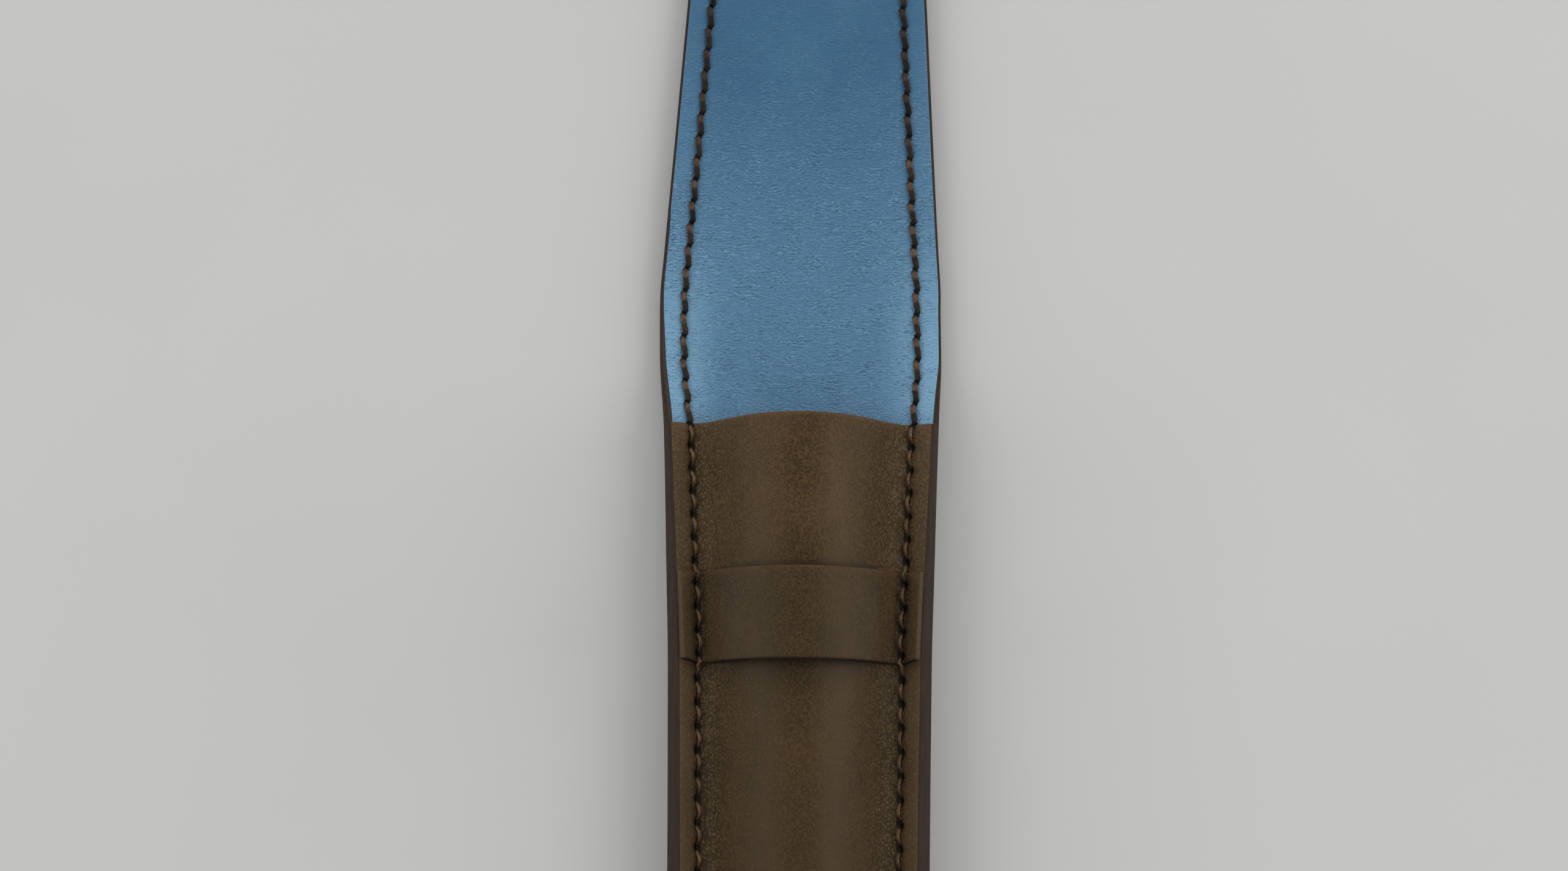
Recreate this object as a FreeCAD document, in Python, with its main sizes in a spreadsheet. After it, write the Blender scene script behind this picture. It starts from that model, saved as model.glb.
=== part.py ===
"""Single pen sleeve of brown leather with a fold-over flap, lying open.

X runs across the sleeve, Y along it from the closed toe to the flap's tip, Z up
from the table. The origin is under the middle of the whole length. The leather
holds the set shape of use: the back is a shallow trough whose margins slope up
to both sides, and the front arches over the room inside.

Every sheet follows one reference curve, the outer face of the back. A place on
it is given by its developed distance from the middle line, and a sheet lies
between two offsets from it.
"""
import FreeCAD
import Part
import Sketcher
import math
import os
import re
from collections import namedtuple

# Lengths in millimetres, names that end in angle in degrees.
SIZES = {
    # Cut sizes of the leather.
    "pocket_length": 128.0,
    "flap_length": 104.0,
    "half_width": 21.0,
    "tip_half_width": 16.0,
    "toe_corner_radius": 9.0,
    "tip_corner_radius": 9.0,
    "outer_thickness": 1.3,
    "lining_thickness": 0.9,
    "front_thickness": 1.3,
    "band_thickness": 1.2,
    "glue_gap": 0.05,
    # Set shape of the back: a flat floor, a bend and a straight slope.
    "floor_half_width": 3.0,
    "bend_length": 4.7,
    "heel_bend_angle": 31.0,
    "pocket_bend_angle": 33.0,
    "band_bend_angle": 29.0,
    "throat_bend_angle": 25.5,
    "mouth_bend_angle": 17.3,
    "neck_bend_angle": 5.0,
    "fold_bend_angle": 4.0,
    "tongue_bend_angle": 5.0,
    "tip_bend_angle": 5.0,
    "toe_lift": 4.5,
    "heel_lift": 0.9,
    "tip_lift": 2.5,
    # Places along the length.
    "toe_closed_length": 6.5,
    "heel_reach": 21.0,
    "pen_stop_reach": 31.0,
    "neck_rise": 11.0,
    "shoulder_rise": 20.0,
    "fold_rise": 26.5,
    "crown_length": 9.0,
    "fold_radius": 4.0,
    "curl_length": 34.0,
    # Pocket front and the round room inside it.
    "pen_diameter": 15.0,
    "pen_clearance": 0.2,
    "heel_room": 12.0,
    "toe_crown_share": 0.43,
    "toe_flank_share": 0.61,
    "heel_crown_share": 0.968,
    "pocket_crown_share": 0.77,
    "mouth_crown_share": 0.7425,
    "valley_radius": 0.25,
    "valley_run": 0.5,
    # Keeper band.
    "band_drop": 22.1,
    "band_height": 13.15,
    "band_end_inset": 0.3,
    "band_crown_share": 0.8,
    "tunnel_height": 3.0,
    # Saddle stitches.
    "pocket_stitch_inset": 3.4,
    "flap_stitch_inset": 3.6,
    "stitch_pitch": 3.38,
    "stitch_width": 0.8,
    "stitch_height": 0.45,
    "stitch_gap": 0.11,
    "hole_margin": 0.25,
    "stitch_slant_angle": 9.0,
    # How far cutting outlines run past the leather.
    "overrun": 4.0,
}

# Cross-section of a stitch, as shares of its width and height.
STITCH_SHARES = ((-0.5, 0.0), (0.5, 0.0), (0.0, 1.0))

doc = FreeCAD.newDocument("PenSleeve")
sheet = doc.addObject("Spreadsheet::Sheet", "Sizes")
for row, (alias, number) in enumerate(SIZES.items(), start=1):
    sheet.set(f"A{row}", alias)
    sheet.set(f"B{row}", str(number))
    sheet.setAlias(f"B{row}", alias)
doc.recompute()

Vector = FreeCAD.Vector
START, END, CENTRE = range(1, 4)
X_AXIS, Y_AXIS = range(-1, -3, -1)
ORIGIN = (X_AXIS, START)
RIGHT_ANGLE = math.pi / 2


def bound(formula):
    """The formula with every size's alias pointed at the sheet."""
    def point(match):
        word = match.group()
        return f"Sizes.{word}" if word in SIZES else word
    return re.sub(r"[a-z]\w*", point, formula)


def value(formula):
    """The formula's number from the sheet."""
    return float(sheet.evalExpression(bound(formula)))


# Offsets from the back's outer face.
LINING_FOOT = "(outer_thickness + glue_gap)"
LINING_TOP = f"({LINING_FOOT} + lining_thickness)"
FRONT_FOOT = f"({LINING_TOP} + glue_gap)"
FRONT_TOP = f"({FRONT_FOOT} + front_thickness)"
BAND_FOOT = f"({FRONT_TOP} + glue_gap)"
BAND_TOP = f"({BAND_FOOT} + band_thickness)"

# Developed distances from the middle line.
BEND_END = "(floor_half_width + bend_length)"
POCKET_STITCH = "(half_width - pocket_stitch_inset)"
VALLEY = f"({POCKET_STITCH} - valley_run)"
BAND_END = "(half_width - band_end_inset)"

# The front and the band bend round one centre at the stitch line.
BAND_VALLEY_RADIUS = "(band_thickness + valley_radius)"
FRONT_VALLEY_RADIUS = f"(front_thickness + glue_gap + {BAND_VALLEY_RADIUS})"

# Stations: place along the sleeve from the toe, height of the floor, slope of the
# margins, developed half width and the stitch line's distance from the edge.
Station = namedtuple("Station", "name reach lift angle width inset")

FOLD = "(pocket_length + fold_rise)"
TONGUE_FOLD = f"({FOLD} + crown_length)"
TOTAL = "(pocket_length + flap_length)"
BAND_LOW = "(pocket_length - band_drop - band_height)"
SHOULDER = "(pocket_length + shoulder_rise)"
TAPER = "((half_width - tip_half_width) / (flap_length - shoulder_rise))"
POCKET = ("half_width", "pocket_stitch_inset")
FLAP_INSET = "flap_stitch_inset"
NECK_INSET = "((pocket_stitch_inset + flap_stitch_inset) / 2)"
FOLD_WIDTH = f"(half_width - {TAPER} * (fold_rise - shoulder_rise))"
TONGUE_WIDTH = f"({FOLD_WIDTH} - {TAPER} * crown_length)"
CURL_WIDTH = f"(tip_half_width + {TAPER} * curl_length)"

STATIONS = [
    Station("toe", "0", "toe_lift", None, *POCKET),
    Station("toe_seam", "toe_closed_length", "toe_lift", None, *POCKET),
    Station("heel", "heel_reach", "heel_lift", "heel_bend_angle", *POCKET),
    Station("pen_stop", "pen_stop_reach", "0", "pocket_bend_angle", *POCKET),
    Station("band_low", BAND_LOW, "0", "band_bend_angle", *POCKET),
    Station("band_high", "(pocket_length - band_drop)", "0", "throat_bend_angle", *POCKET),
    Station("mouth", "pocket_length", "0", "mouth_bend_angle", *POCKET),
    Station("neck", "(pocket_length + neck_rise)", "0", "neck_bend_angle", "half_width", NECK_INSET),
    Station("shoulder", SHOULDER, "0", "fold_bend_angle", "half_width", FLAP_INSET),
    Station("fold", FOLD, "0", "fold_bend_angle", FOLD_WIDTH, FLAP_INSET),
    Station("tongue_fold", TONGUE_FOLD, "0", "tongue_bend_angle", TONGUE_WIDTH, FLAP_INSET),
    Station("curl", f"({TOTAL} - curl_length)", "0", "tongue_bend_angle", CURL_WIDTH, FLAP_INSET),
    Station("tip", TOTAL, "tip_lift", "tip_bend_angle", "tip_half_width", FLAP_INSET),
]
BY_NAME = {station.name: station for station in STATIONS}
NAMES = list(BY_NAME)


def stretch(first, last):
    """Stations from one to another."""
    return STATIONS[NAMES.index(first):NAMES.index(last) + 1]


def along(reach):
    """Formula of the Y place of a reach from the toe."""
    return f"({reach} - {TOTAL} / 2)"


def bend_radius(station):
    """Formula of the bend's radius on the outer face."""
    return f"(bend_length * 180 / (pi * {station.angle}))"


def slope_x(station, distance, offset):
    """Formula of X on the sloping margin."""
    bend = f"({bend_radius(station)} - {offset}) * sin({station.angle})"
    return f"(floor_half_width + {bend} + ({distance} - {BEND_END}) * cos({station.angle}))"


def slope_z(station, distance, offset):
    """Formula of Z on the sloping margin."""
    radius = bend_radius(station)
    bend = f"{radius} - ({radius} - {offset}) * cos({station.angle})"
    return f"({station.lift} + {bend} + ({distance} - {BEND_END}) * sin({station.angle}))"


class Drawing:
    """A closed outline made of a lower and an upper chain of lines and arcs."""

    def __init__(self, body, name, role, offset):
        plane = next(item for item in body.Origin.OriginFeatures if item.Role == role)
        self.sketch = body.newObject("Sketcher::SketchObject", name)
        self.sketch.AttachmentSupport = [(plane, "")]
        self.sketch.MapMode = "FlatFace"
        self.sketch.setExpression("AttachmentOffset.Base.z", bound(offset))
        self.entry = {}
        self.exit = {}
        self.rules = []
        self.sizes = []

    def line(self, first, second, construction=False):
        edge = self.sketch.addGeometry(Part.LineSegment(Vector(*first), Vector(*second)), construction)
        self.entry[edge], self.exit[edge] = (edge, START), (edge, END)
        return edge

    def arc(self, centre, radius, first, last, forward=True):
        circle = Part.Circle(Vector(*centre), Vector(0, 0, 1), radius)
        edge = self.sketch.addGeometry(Part.ArcOfCircle(circle, first, last), False)
        ends = (edge, START), (edge, END)
        self.entry[edge], self.exit[edge] = ends if forward else ends[::-1]
        return edge

    def rule(self, kind, *where):
        self.rules.append(Sketcher.Constraint(kind, *where))

    def size(self, formula, kind, *where):
        number = value(formula)
        self.sizes.append((len(self.rules), formula, kind))
        self.rule(kind, *where, math.radians(number) if kind == "Angle" else number)

    def chain(self, edges, kind):
        for edge, after in zip(edges, edges[1:]):
            self.rule(kind, *self.exit[edge], *self.entry[after])

    def close(self, edges):
        self.chain(edges + edges[:1], "Coincident")

    def finish(self):
        self.sketch.addConstraint(self.rules)
        for index, formula, kind in self.sizes:
            unit = " * 1 deg" if kind == "Angle" else ""
            self.sketch.setExpression(f"Constraints[{index}]", bound(formula) + unit)
        return self.sketch


def flat_section(body, station, low, high, breaks):
    """Section of a sheet that lies flat, cut at the given distances."""
    drawing = Drawing(body, f"{station.name}_section", "XZ_Plane", f"-{along(station.reach)}")
    foot = f"({station.lift} + {low})"
    top = f"({station.lift} + {high})"
    places = [f"-{distance}" for distance in reversed(breaks)] + list(breaks)
    across = [value(place) for place in places]
    low_points = [(x, value(foot), 0) for x in across]
    high_points = [(x, value(top), 0) for x in across]
    lower = [drawing.line(first, second) for first, second in zip(low_points, low_points[1:])]
    right = drawing.line(low_points[-1], high_points[-1])
    back = high_points[::-1]
    upper = [drawing.line(first, second) for first, second in zip(back, back[1:])]
    left = drawing.line(high_points[0], low_points[0])
    drawing.close(lower + [right] + upper + [left])
    for edge in lower + upper:
        drawing.rule("Horizontal", edge)
    low_ends = [drawing.entry[edge] for edge in lower] + [drawing.exit[lower[-1]]]
    high_ends = [drawing.exit[edge] for edge in reversed(upper)] + [drawing.entry[upper[0]]]
    for place, low_end, high_end in zip(places, low_ends, high_ends):
        drawing.size(place, "DistanceX", *ORIGIN, *low_end)
        drawing.rule("Vertical", *low_end, *high_end)
    drawing.size(foot, "DistanceY", *ORIGIN, *low_ends[0])
    drawing.size(top, "DistanceY", *ORIGIN, *high_ends[0])
    return drawing.finish()


def trough_section(body, station, low, high):
    """Section of a sheet of the back: floor, two bends and two slopes."""
    drawing = Drawing(body, f"{station.name}_section", "XZ_Plane", f"-{along(station.reach)}")
    radius = bend_radius(station)
    angle = math.radians(value(station.angle))
    floor = value("floor_half_width")
    middle = value(f"{station.lift} + {radius}")

    def side(offset):
        """Bend radius and the ends of the slope at an offset."""
        inner = slope_x(station, BEND_END, offset), slope_z(station, BEND_END, offset)
        outer = slope_x(station, station.width, offset), slope_z(station, station.width, offset)
        bend = value(f"{radius} - {offset}")
        return bend, [value(part) for part in inner], [value(part) for part in outer]

    def mirrored(point):
        return -point[0], point[1], 0

    low_radius, low_in, low_out = side(low)
    high_radius, high_in, high_out = side(high)
    lower = [
        drawing.line(mirrored(low_out), mirrored(low_in)),
        drawing.arc((-floor, middle, 0), low_radius, -RIGHT_ANGLE - angle, -RIGHT_ANGLE),
        drawing.line((-floor, middle - low_radius, 0), (floor, middle - low_radius, 0)),
        drawing.arc((floor, middle, 0), low_radius, -RIGHT_ANGLE, -RIGHT_ANGLE + angle),
        drawing.line((*low_in, 0), (*low_out, 0)),
    ]
    right = drawing.line((*low_out, 0), (*high_out, 0))
    upper = [
        drawing.line((*high_out, 0), (*high_in, 0)),
        drawing.arc((floor, middle, 0), high_radius, -RIGHT_ANGLE, -RIGHT_ANGLE + angle, False),
        drawing.line((floor, middle - high_radius, 0), (-floor, middle - high_radius, 0)),
        drawing.arc((-floor, middle, 0), high_radius, -RIGHT_ANGLE - angle, -RIGHT_ANGLE, False),
        drawing.line(mirrored(high_in), mirrored(high_out)),
    ]
    left = drawing.line(mirrored(high_out), mirrored(low_out))
    drawing.chain(lower, "Tangent")
    drawing.chain(upper, "Tangent")
    drawing.chain([lower[-1], right, upper[0]], "Coincident")
    drawing.chain([upper[-1], left, lower[0]], "Coincident")
    drawing.rule("Coincident", lower[1], CENTRE, upper[3], CENTRE)
    drawing.rule("Coincident", lower[3], CENTRE, upper[1], CENTRE)
    drawing.rule("Symmetric", lower[2], START, lower[2], END, Y_AXIS)
    drawing.rule("Symmetric", lower[0], START, lower[4], END, Y_AXIS)
    drawing.rule("Equal", lower[1], lower[3])
    drawing.rule("Equal", upper[1], upper[3])
    drawing.rule("Parallel", lower[4], upper[0])
    drawing.rule("Parallel", lower[0], upper[4])
    drawing.rule("Perpendicular", lower[4], right)
    drawing.rule("Perpendicular", lower[0], left)
    drawing.size("2 * floor_half_width", "DistanceX", lower[2], START, lower[2], END)
    drawing.size(f"{station.lift} + {low}", "DistanceY", *ORIGIN, lower[2], START)
    drawing.size(f"{high} - {low}", "DistanceY", lower[2], START, upper[2], END)
    drawing.size(f"{radius} - {low}", "Radius", lower[3])
    drawing.size(station.angle, "Angle", lower[4])
    drawing.size(f"{station.width} - {BEND_END}", "Distance", lower[4])
    return drawing.finish()


Arch = namedtuple("Arch", "foot thickness valley end valley_radius crown_radius room")


def fitted_crown(station, foot, valley, valley_radius, room, share):
    """Formula of a crown radius: a share of the one that meets the valley bends."""
    hub_x = f"({slope_x(station, valley, foot)} - {valley_radius} * sin({station.angle}))"
    hub_z = f"({slope_z(station, valley, foot)} + {valley_radius} * cos({station.angle}))"
    rise = f"({station.lift} + {LINING_TOP} + {room} - {hub_z})"
    largest = f"({hub_x}^2 + {rise}^2 - {valley_radius}^2) / (2 * ({rise} + {valley_radius}))"
    return f"({share} * {largest})"


def arch_section(body, station, arch):
    """Section of a sheet that is sewn to the margins and arches over the pocket's room."""
    drawing = Drawing(body, f"{station.name}_section", "XZ_Plane", f"-{along(station.reach)}")
    slope = math.radians(value(station.angle))
    thickness = value(arch.thickness)
    valley_x = slope_x(station, arch.valley, arch.foot)
    valley_z = slope_z(station, arch.valley, arch.foot)
    valley = value(valley_x), value(valley_z)
    end = [value(part(station, arch.end, arch.foot)) for part in (slope_x, slope_z)]
    small = value(arch.valley_radius)
    large = value(arch.crown_radius)
    crown_z = f"({station.lift} + {LINING_TOP} + {arch.room} - {arch.crown_radius})"
    middle = 0.0, value(crown_z)
    hub = valley[0] - small * math.sin(slope), valley[1] + small * math.cos(slope)
    rise = middle[1] - hub[1]
    flank = math.asin((small + large) / math.hypot(hub[0], rise)) + math.atan2(rise, hub[0])

    def point(centre, radius, angle, sign):
        """Point of an arc at an angle from the vertical, above or below its centre."""
        return centre[0] + radius * math.sin(angle), centre[1] + sign * radius * math.cos(angle), 0

    def mirrored(place):
        return -place[0], place[1], 0

    def run(offset, forward):
        """Edges of one face, from left to right or from right to left."""
        crown = large + offset
        bend = small - offset
        normal = -math.sin(slope) * offset, math.cos(slope) * offset
        outer = end[0] + normal[0], end[1] + normal[1], 0
        inner = point(hub, bend, slope, -1)
        foot = point(hub, bend, -flank, -1)
        top = point(middle, crown, flank, 1)
        left_hub = mirrored(hub)
        plans = [
            (mirrored(outer), mirrored(inner)),
            (left_hub, bend, -RIGHT_ANGLE - slope, -RIGHT_ANGLE + flank, forward),
            (mirrored(foot), mirrored(top)),
            ((*middle, 0), crown, RIGHT_ANGLE - flank, RIGHT_ANGLE + flank, not forward),
            (top, foot),
            ((*hub, 0), bend, -RIGHT_ANGLE - flank, -RIGHT_ANGLE + slope, forward),
            (inner, outer),
        ]
        edges = []
        for plan in plans if forward else plans[::-1]:
            if len(plan) == 2:
                edges.append(drawing.line(*(plan if forward else plan[::-1])))
            else:
                edges.append(drawing.arc(*plan))
        return edges, outer

    lower, low_out = run(0.0, True)
    right_normal = -math.sin(slope) * thickness, math.cos(slope) * thickness
    high_out = low_out[0] + right_normal[0], low_out[1] + right_normal[1], 0
    right = drawing.line(low_out, high_out)
    upper, high_out = run(thickness, False)
    left = drawing.line(mirrored(high_out), mirrored(low_out))
    drawing.chain(lower, "Tangent")
    drawing.chain(upper, "Tangent")
    drawing.chain([lower[-1], right, upper[0]], "Coincident")
    drawing.chain([upper[-1], left, lower[0]], "Coincident")
    for index in (1, 3, 5):
        drawing.rule("Coincident", lower[index], CENTRE, upper[6 - index], CENTRE)
    drawing.rule("Symmetric", lower[1], CENTRE, lower[5], CENTRE, Y_AXIS)
    drawing.rule("Symmetric", lower[0], START, lower[6], END, Y_AXIS)
    drawing.rule("Equal", lower[1], lower[5])
    drawing.rule("Equal", upper[1], upper[5])
    drawing.rule("PointOnObject", lower[3], CENTRE, Y_AXIS)
    drawing.rule("Parallel", lower[6], upper[0])
    drawing.rule("Parallel", lower[0], upper[6])
    drawing.rule("Perpendicular", lower[6], right)
    drawing.rule("Perpendicular", lower[0], left)
    drawing.size(valley_x, "DistanceX", *ORIGIN, lower[6], START)
    drawing.size(valley_z, "DistanceY", *ORIGIN, lower[6], START)
    drawing.size(station.angle, "Angle", lower[6])
    drawing.size(f"{arch.end} - {arch.valley}", "Distance", lower[6])
    drawing.size(arch.valley_radius, "Radius", lower[5])
    drawing.size(f"{arch.valley_radius} - {arch.thickness}", "Radius", upper[1])
    drawing.size(arch.crown_radius, "Radius", lower[3])
    drawing.size(f"{arch.crown_radius} + {arch.thickness}", "Radius", upper[3])
    drawing.size(crown_z, "DistanceY", *ORIGIN, lower[3], CENTRE)
    return drawing.finish()


def corner_outline(body, name, edge_reach, inward, side, radius):
    """Outline outside both rounded corners of an end, tangent to the sides.

    The side is the X of the edge at the end and at a second place, with that
    place's reach.
    """
    drawing = Drawing(body, name, "XY_Plane", "0")
    end_x, far_x, far_reach = side
    end_y = along(edge_reach)
    far_y = along(far_reach)
    x, y = value(end_x), value(end_y)
    run, rise = value(far_x) - x, (value(far_y) - y) * inward
    lean = math.atan2(run, rise)
    size = value(radius)
    past = value("overrun")
    span = x - size * (1 / math.cos(lean) - math.tan(lean))
    for sign in (1, -1):
        centre = sign * span, y + inward * size, 0
        touch = centre[0] + sign * size * math.cos(lean), centre[1] - inward * size * math.sin(lean), 0
        foot = centre[0], y, 0
        outside = sign * (x + past)
        below = y - inward * past
        guide = drawing.line((sign * x, y, 0), (sign * value(far_x), value(far_y), 0), True)
        corner = [
            drawing.line(foot, (foot[0], below, 0)),
            drawing.line((foot[0], below, 0), (outside, below, 0)),
            drawing.line((outside, below, 0), (outside, touch[1], 0)),
            drawing.line((outside, touch[1], 0), touch),
        ]
        first = math.atan2(touch[1] - centre[1], touch[0] - centre[0])
        last = math.atan2(foot[1] - centre[1], 0.0)
        turn = (last - first) % (2 * math.pi)
        forward = turn < math.pi
        arc = drawing.arc(centre, size, *((first, last) if forward else (last, first)), forward)
        drawing.close(corner + [arc])
        for index, kind in enumerate(("Vertical", "Horizontal", "Vertical", "Horizontal")):
            drawing.rule(kind, corner[index])
        drawing.rule("Vertical", arc, CENTRE, *drawing.exit[arc])
        drawing.rule("Tangent", *drawing.entry[arc], guide)
        for place, formula_x, formula_y in ((START, end_x, end_y), (END, far_x, far_y)):
            drawing.size(f"{sign} * {formula_x}", "DistanceX", *ORIGIN, guide, place)
            drawing.size(formula_y, "DistanceY", *ORIGIN, guide, place)
        drawing.size(radius, "Radius", arc)
        drawing.size(end_y, "DistanceY", *ORIGIN, *drawing.exit[arc])
        drawing.size(f"{end_y} - {inward} * overrun", "DistanceY", *ORIGIN, corner[0], END)
        drawing.size(f"{sign} * ({end_x} + overrun)", "DistanceX", *ORIGIN, corner[1], END)
    return drawing.finish()


def new_body(label):
    body = doc.addObject("PartDesign::Body", label)
    body.Label = label
    return body


def loft(body, sections):
    feature = body.newObject("PartDesign::AdditiveLoft", "sheet")
    feature.Profile = sections[0]
    feature.Sections = sections[1:]
    feature.Ruled = True
    doc.recompute()
    return feature


def round_end(body, name, edge_reach, inward, side, radius):
    """Cuts the corners of one end and checks that leather went."""
    before = body.Shape.Volume
    cut = body.newObject("PartDesign::Pocket", name)
    cut.Profile = corner_outline(body, f"{name}_outline", edge_reach, inward, side, radius)
    cut.Type = "ThroughAll"
    cut.Midplane = True
    doc.recompute()
    if not body.Shape.Volume < before:
        raise RuntimeError(f"{name} of {body.Label} cuts nothing")


TOE_SIDE = ("half_width", "half_width", "pen_stop_reach")
TIP_SIDE = (
    slope_x(BY_NAME["tip"], "tip_half_width", "0"),
    slope_x(BY_NAME["curl"], CURL_WIDTH, "0"),
    BY_NAME["curl"].reach,
)
SLEEVE_STATIONS = stretch("toe", "fold")
CROWN_STATIONS = stretch("fold", "tongue_fold")
TONGUE_STATIONS = stretch("tongue_fold", "tip")


def sheet_body(label, stations, low, high):
    """One sheet of the back or the flap."""
    body = new_body(label)
    sections = []
    for station in stations:
        if station.angle is None:
            breaks = ("floor_half_width", BEND_END, station.width)
            sections.append(flat_section(body, station, low, high, breaks))
        else:
            sections.append(trough_section(body, station, low, high))
    loft(body, sections)
    if stations[0].name == "toe":
        round_end(body, "toe_corners", "0", 1, TOE_SIDE, "toe_corner_radius")
    if stations[-1].name == "tip":
        round_end(body, "tip_corners", TOTAL, -1, TIP_SIDE, "tip_corner_radius")
    return body


PEN_ROOM = "(pen_diameter + pen_clearance)"
TOE_CROWN = "(toe_crown_share * half_width)"
TOE_FLANK = "(toe_flank_share * half_width)"


def front_body():
    """The pocket front, sewn down flat at the toe and open at the mouth."""
    body = new_body("front_pocket")
    sections = []
    for station in stretch("toe", "mouth"):
        if station.angle is None:
            breaks = (TOE_CROWN, TOE_FLANK, VALLEY, "half_width")
            sections.append(flat_section(body, station, FRONT_FOOT, FRONT_TOP, breaks))
            continue
        room, share = PEN_ROOM, "pocket_crown_share"
        if station.name == "heel":
            room, share = "heel_room", "heel_crown_share"
        elif station.name == "mouth":
            share = "mouth_crown_share"
        bend = FRONT_VALLEY_RADIUS
        crown = fitted_crown(station, FRONT_FOOT, VALLEY, bend, room, share)
        arch = Arch(FRONT_FOOT, "front_thickness", VALLEY, "half_width", bend, crown, room)
        sections.append(arch_section(body, station, arch))
    loft(body, sections)
    round_end(body, "toe_corners", "0", 1, TOE_SIDE, "toe_corner_radius")
    return body


def band_body():
    """The keeper band, which leaves a tunnel over the front for the flap's tongue."""
    body = new_body("keeper_band")
    room = f"({PEN_ROOM} + front_thickness + tunnel_height)"
    bend = BAND_VALLEY_RADIUS
    sections = []
    for name in ("band_low", "band_high"):
        station = BY_NAME[name]
        crown = fitted_crown(station, BAND_FOOT, VALLEY, bend, room, "band_crown_share")
        arch = Arch(BAND_FOOT, "band_thickness", VALLEY, BAND_END, bend, crown, room)
        sections.append(arch_section(body, station, arch))
    loft(body, sections)
    return body


def sheet_point(station, distance, offset):
    """X and Z of a place on a station's section, either side of the middle."""
    side = math.copysign(1.0, distance)
    reach = abs(distance)
    floor = value("floor_half_width")
    lift = value(station.lift)
    if station.angle is None or reach <= floor:
        return distance, lift + offset
    radius = value(bend_radius(station))
    full = math.radians(value(station.angle))
    turn = min((reach - floor) / radius, full)
    past = max(reach - value(BEND_END), 0.0)
    across = floor + (radius - offset) * math.sin(turn) + past * math.cos(turn)
    height = lift + radius - (radius - offset) * math.cos(turn) + past * math.sin(turn)
    return side * across, height


def surface(reach, distance, offset):
    """Point of a sheet's face between two stations of the ruled loft."""
    reaches = [value(station.reach) for station in STATIONS]
    after = next(index for index, place in enumerate(reaches[1:], 1) if reach <= place + value("glue_gap"))
    low, high = STATIONS[after - 1], STATIONS[after]
    blend = (reach - reaches[after - 1]) / (reaches[after] - reaches[after - 1])
    width = value(low.width) * (1 - blend) + value(high.width) * blend
    bend = value(BEND_END)
    places = []
    for station in (low, high):
        own = distance
        if abs(distance) > bend:
            share = (abs(distance) - bend) / (width - bend)
            own = math.copysign(bend + share * (value(station.width) - bend), distance)
        places.append(sheet_point(station, own, offset))
    x, z = (first * (1 - blend) + second * blend for first, second in zip(*places))
    return Vector(x, reach - value(TOTAL) / 2, z)


def stitch_distance(reach):
    """Developed distance of the stitch line from the middle."""
    reaches = [value(station.reach) for station in STATIONS]
    lines = [value(f"{station.width} - {station.inset}") for station in STATIONS]
    for index in range(1, len(reaches)):
        if reach <= reaches[index]:
            blend = (reach - reaches[index - 1]) / (reaches[index] - reaches[index - 1])
            return lines[index - 1] * (1 - blend) + lines[index] * blend
    return lines[-1]


def side_path(sign, first, last):
    """Stitch holes along one side between two reaches, as reach and distance."""
    count = max(1, round((last - first) / value("stitch_pitch")))
    reaches = [first + (last - first) * step / count for step in range(count + 1)]
    return [(reach, sign * stitch_distance(reach)) for reach in reaches]


def corner_path(centre_reach, inward, centre_distance, radius, lean):
    """Stitch holes round an end, from one side to the other."""
    quarter = RIGHT_ANGLE - lean
    arc = radius * quarter
    straight = 2 * centre_distance
    count = max(3, round((2 * arc + straight) / value("stitch_pitch")))
    holes = []
    for step in range(count + 1):
        travel = (2 * arc + straight) * step / count
        side = 1
        if travel > arc + straight:
            travel = 2 * arc + straight - travel
            side = -1
        if travel < arc:
            turn = lean + travel / radius
            distance = centre_distance + radius * math.cos(turn)
            holes.append((centre_reach - inward * radius * math.sin(turn), side * distance))
        else:
            holes.append((centre_reach - inward * radius, side * (centre_distance + arc - travel)))
    return holes


def stitches(holes, offset, above):
    """Slanted stitches from hole to hole, lying on the face at an offset."""
    solids = []
    probe = value("stitch_width")
    half_turn = value("stitch_slant_angle")
    for (reach, distance), (next_reach, next_distance) in zip(holes, holes[1:]):
        first = surface(reach, distance, offset)
        second = surface(next_reach, next_distance, offset)
        centre_reach = (reach + next_reach) / 2
        centre_distance = (distance + next_distance) / 2
        across = surface(centre_reach, centre_distance + probe / 2, offset)
        across = across - surface(centre_reach, centre_distance - probe / 2, offset)
        lengthwise = surface(centre_reach + probe / 2, centre_distance, offset)
        lengthwise = lengthwise - surface(centre_reach - probe / 2, centre_distance, offset)
        normal = across.cross(lengthwise).normalize()
        if not above:
            normal = normal * -1
        axis = second - first
        length = axis.Length - 2 * value("hole_margin")
        axis = FreeCAD.Rotation(normal, half_turn).multVec(axis).normalize()
        sideways = axis.cross(normal).normalize()
        seat = surface(centre_reach, centre_distance, offset) + normal * value("stitch_gap")
        tail = seat - axis * (length / 2)
        ring = []
        for wide, high in STITCH_SHARES:
            offset_across = sideways * (wide * value("stitch_width"))
            ring.append(tail + offset_across + normal * (high * value("stitch_height")))
        profile = Part.Face(Part.makePolygon(ring + ring[:1]))
        solids.append(profile.extrude(axis * length))
    return solids


def thread(label, solids):
    feature = doc.addObject("Part::Feature", label)
    feature.Label = label
    feature.Shape = Part.Compound(solids)
    feature.Placement = FreeCAD.Placement()
    return feature


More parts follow.
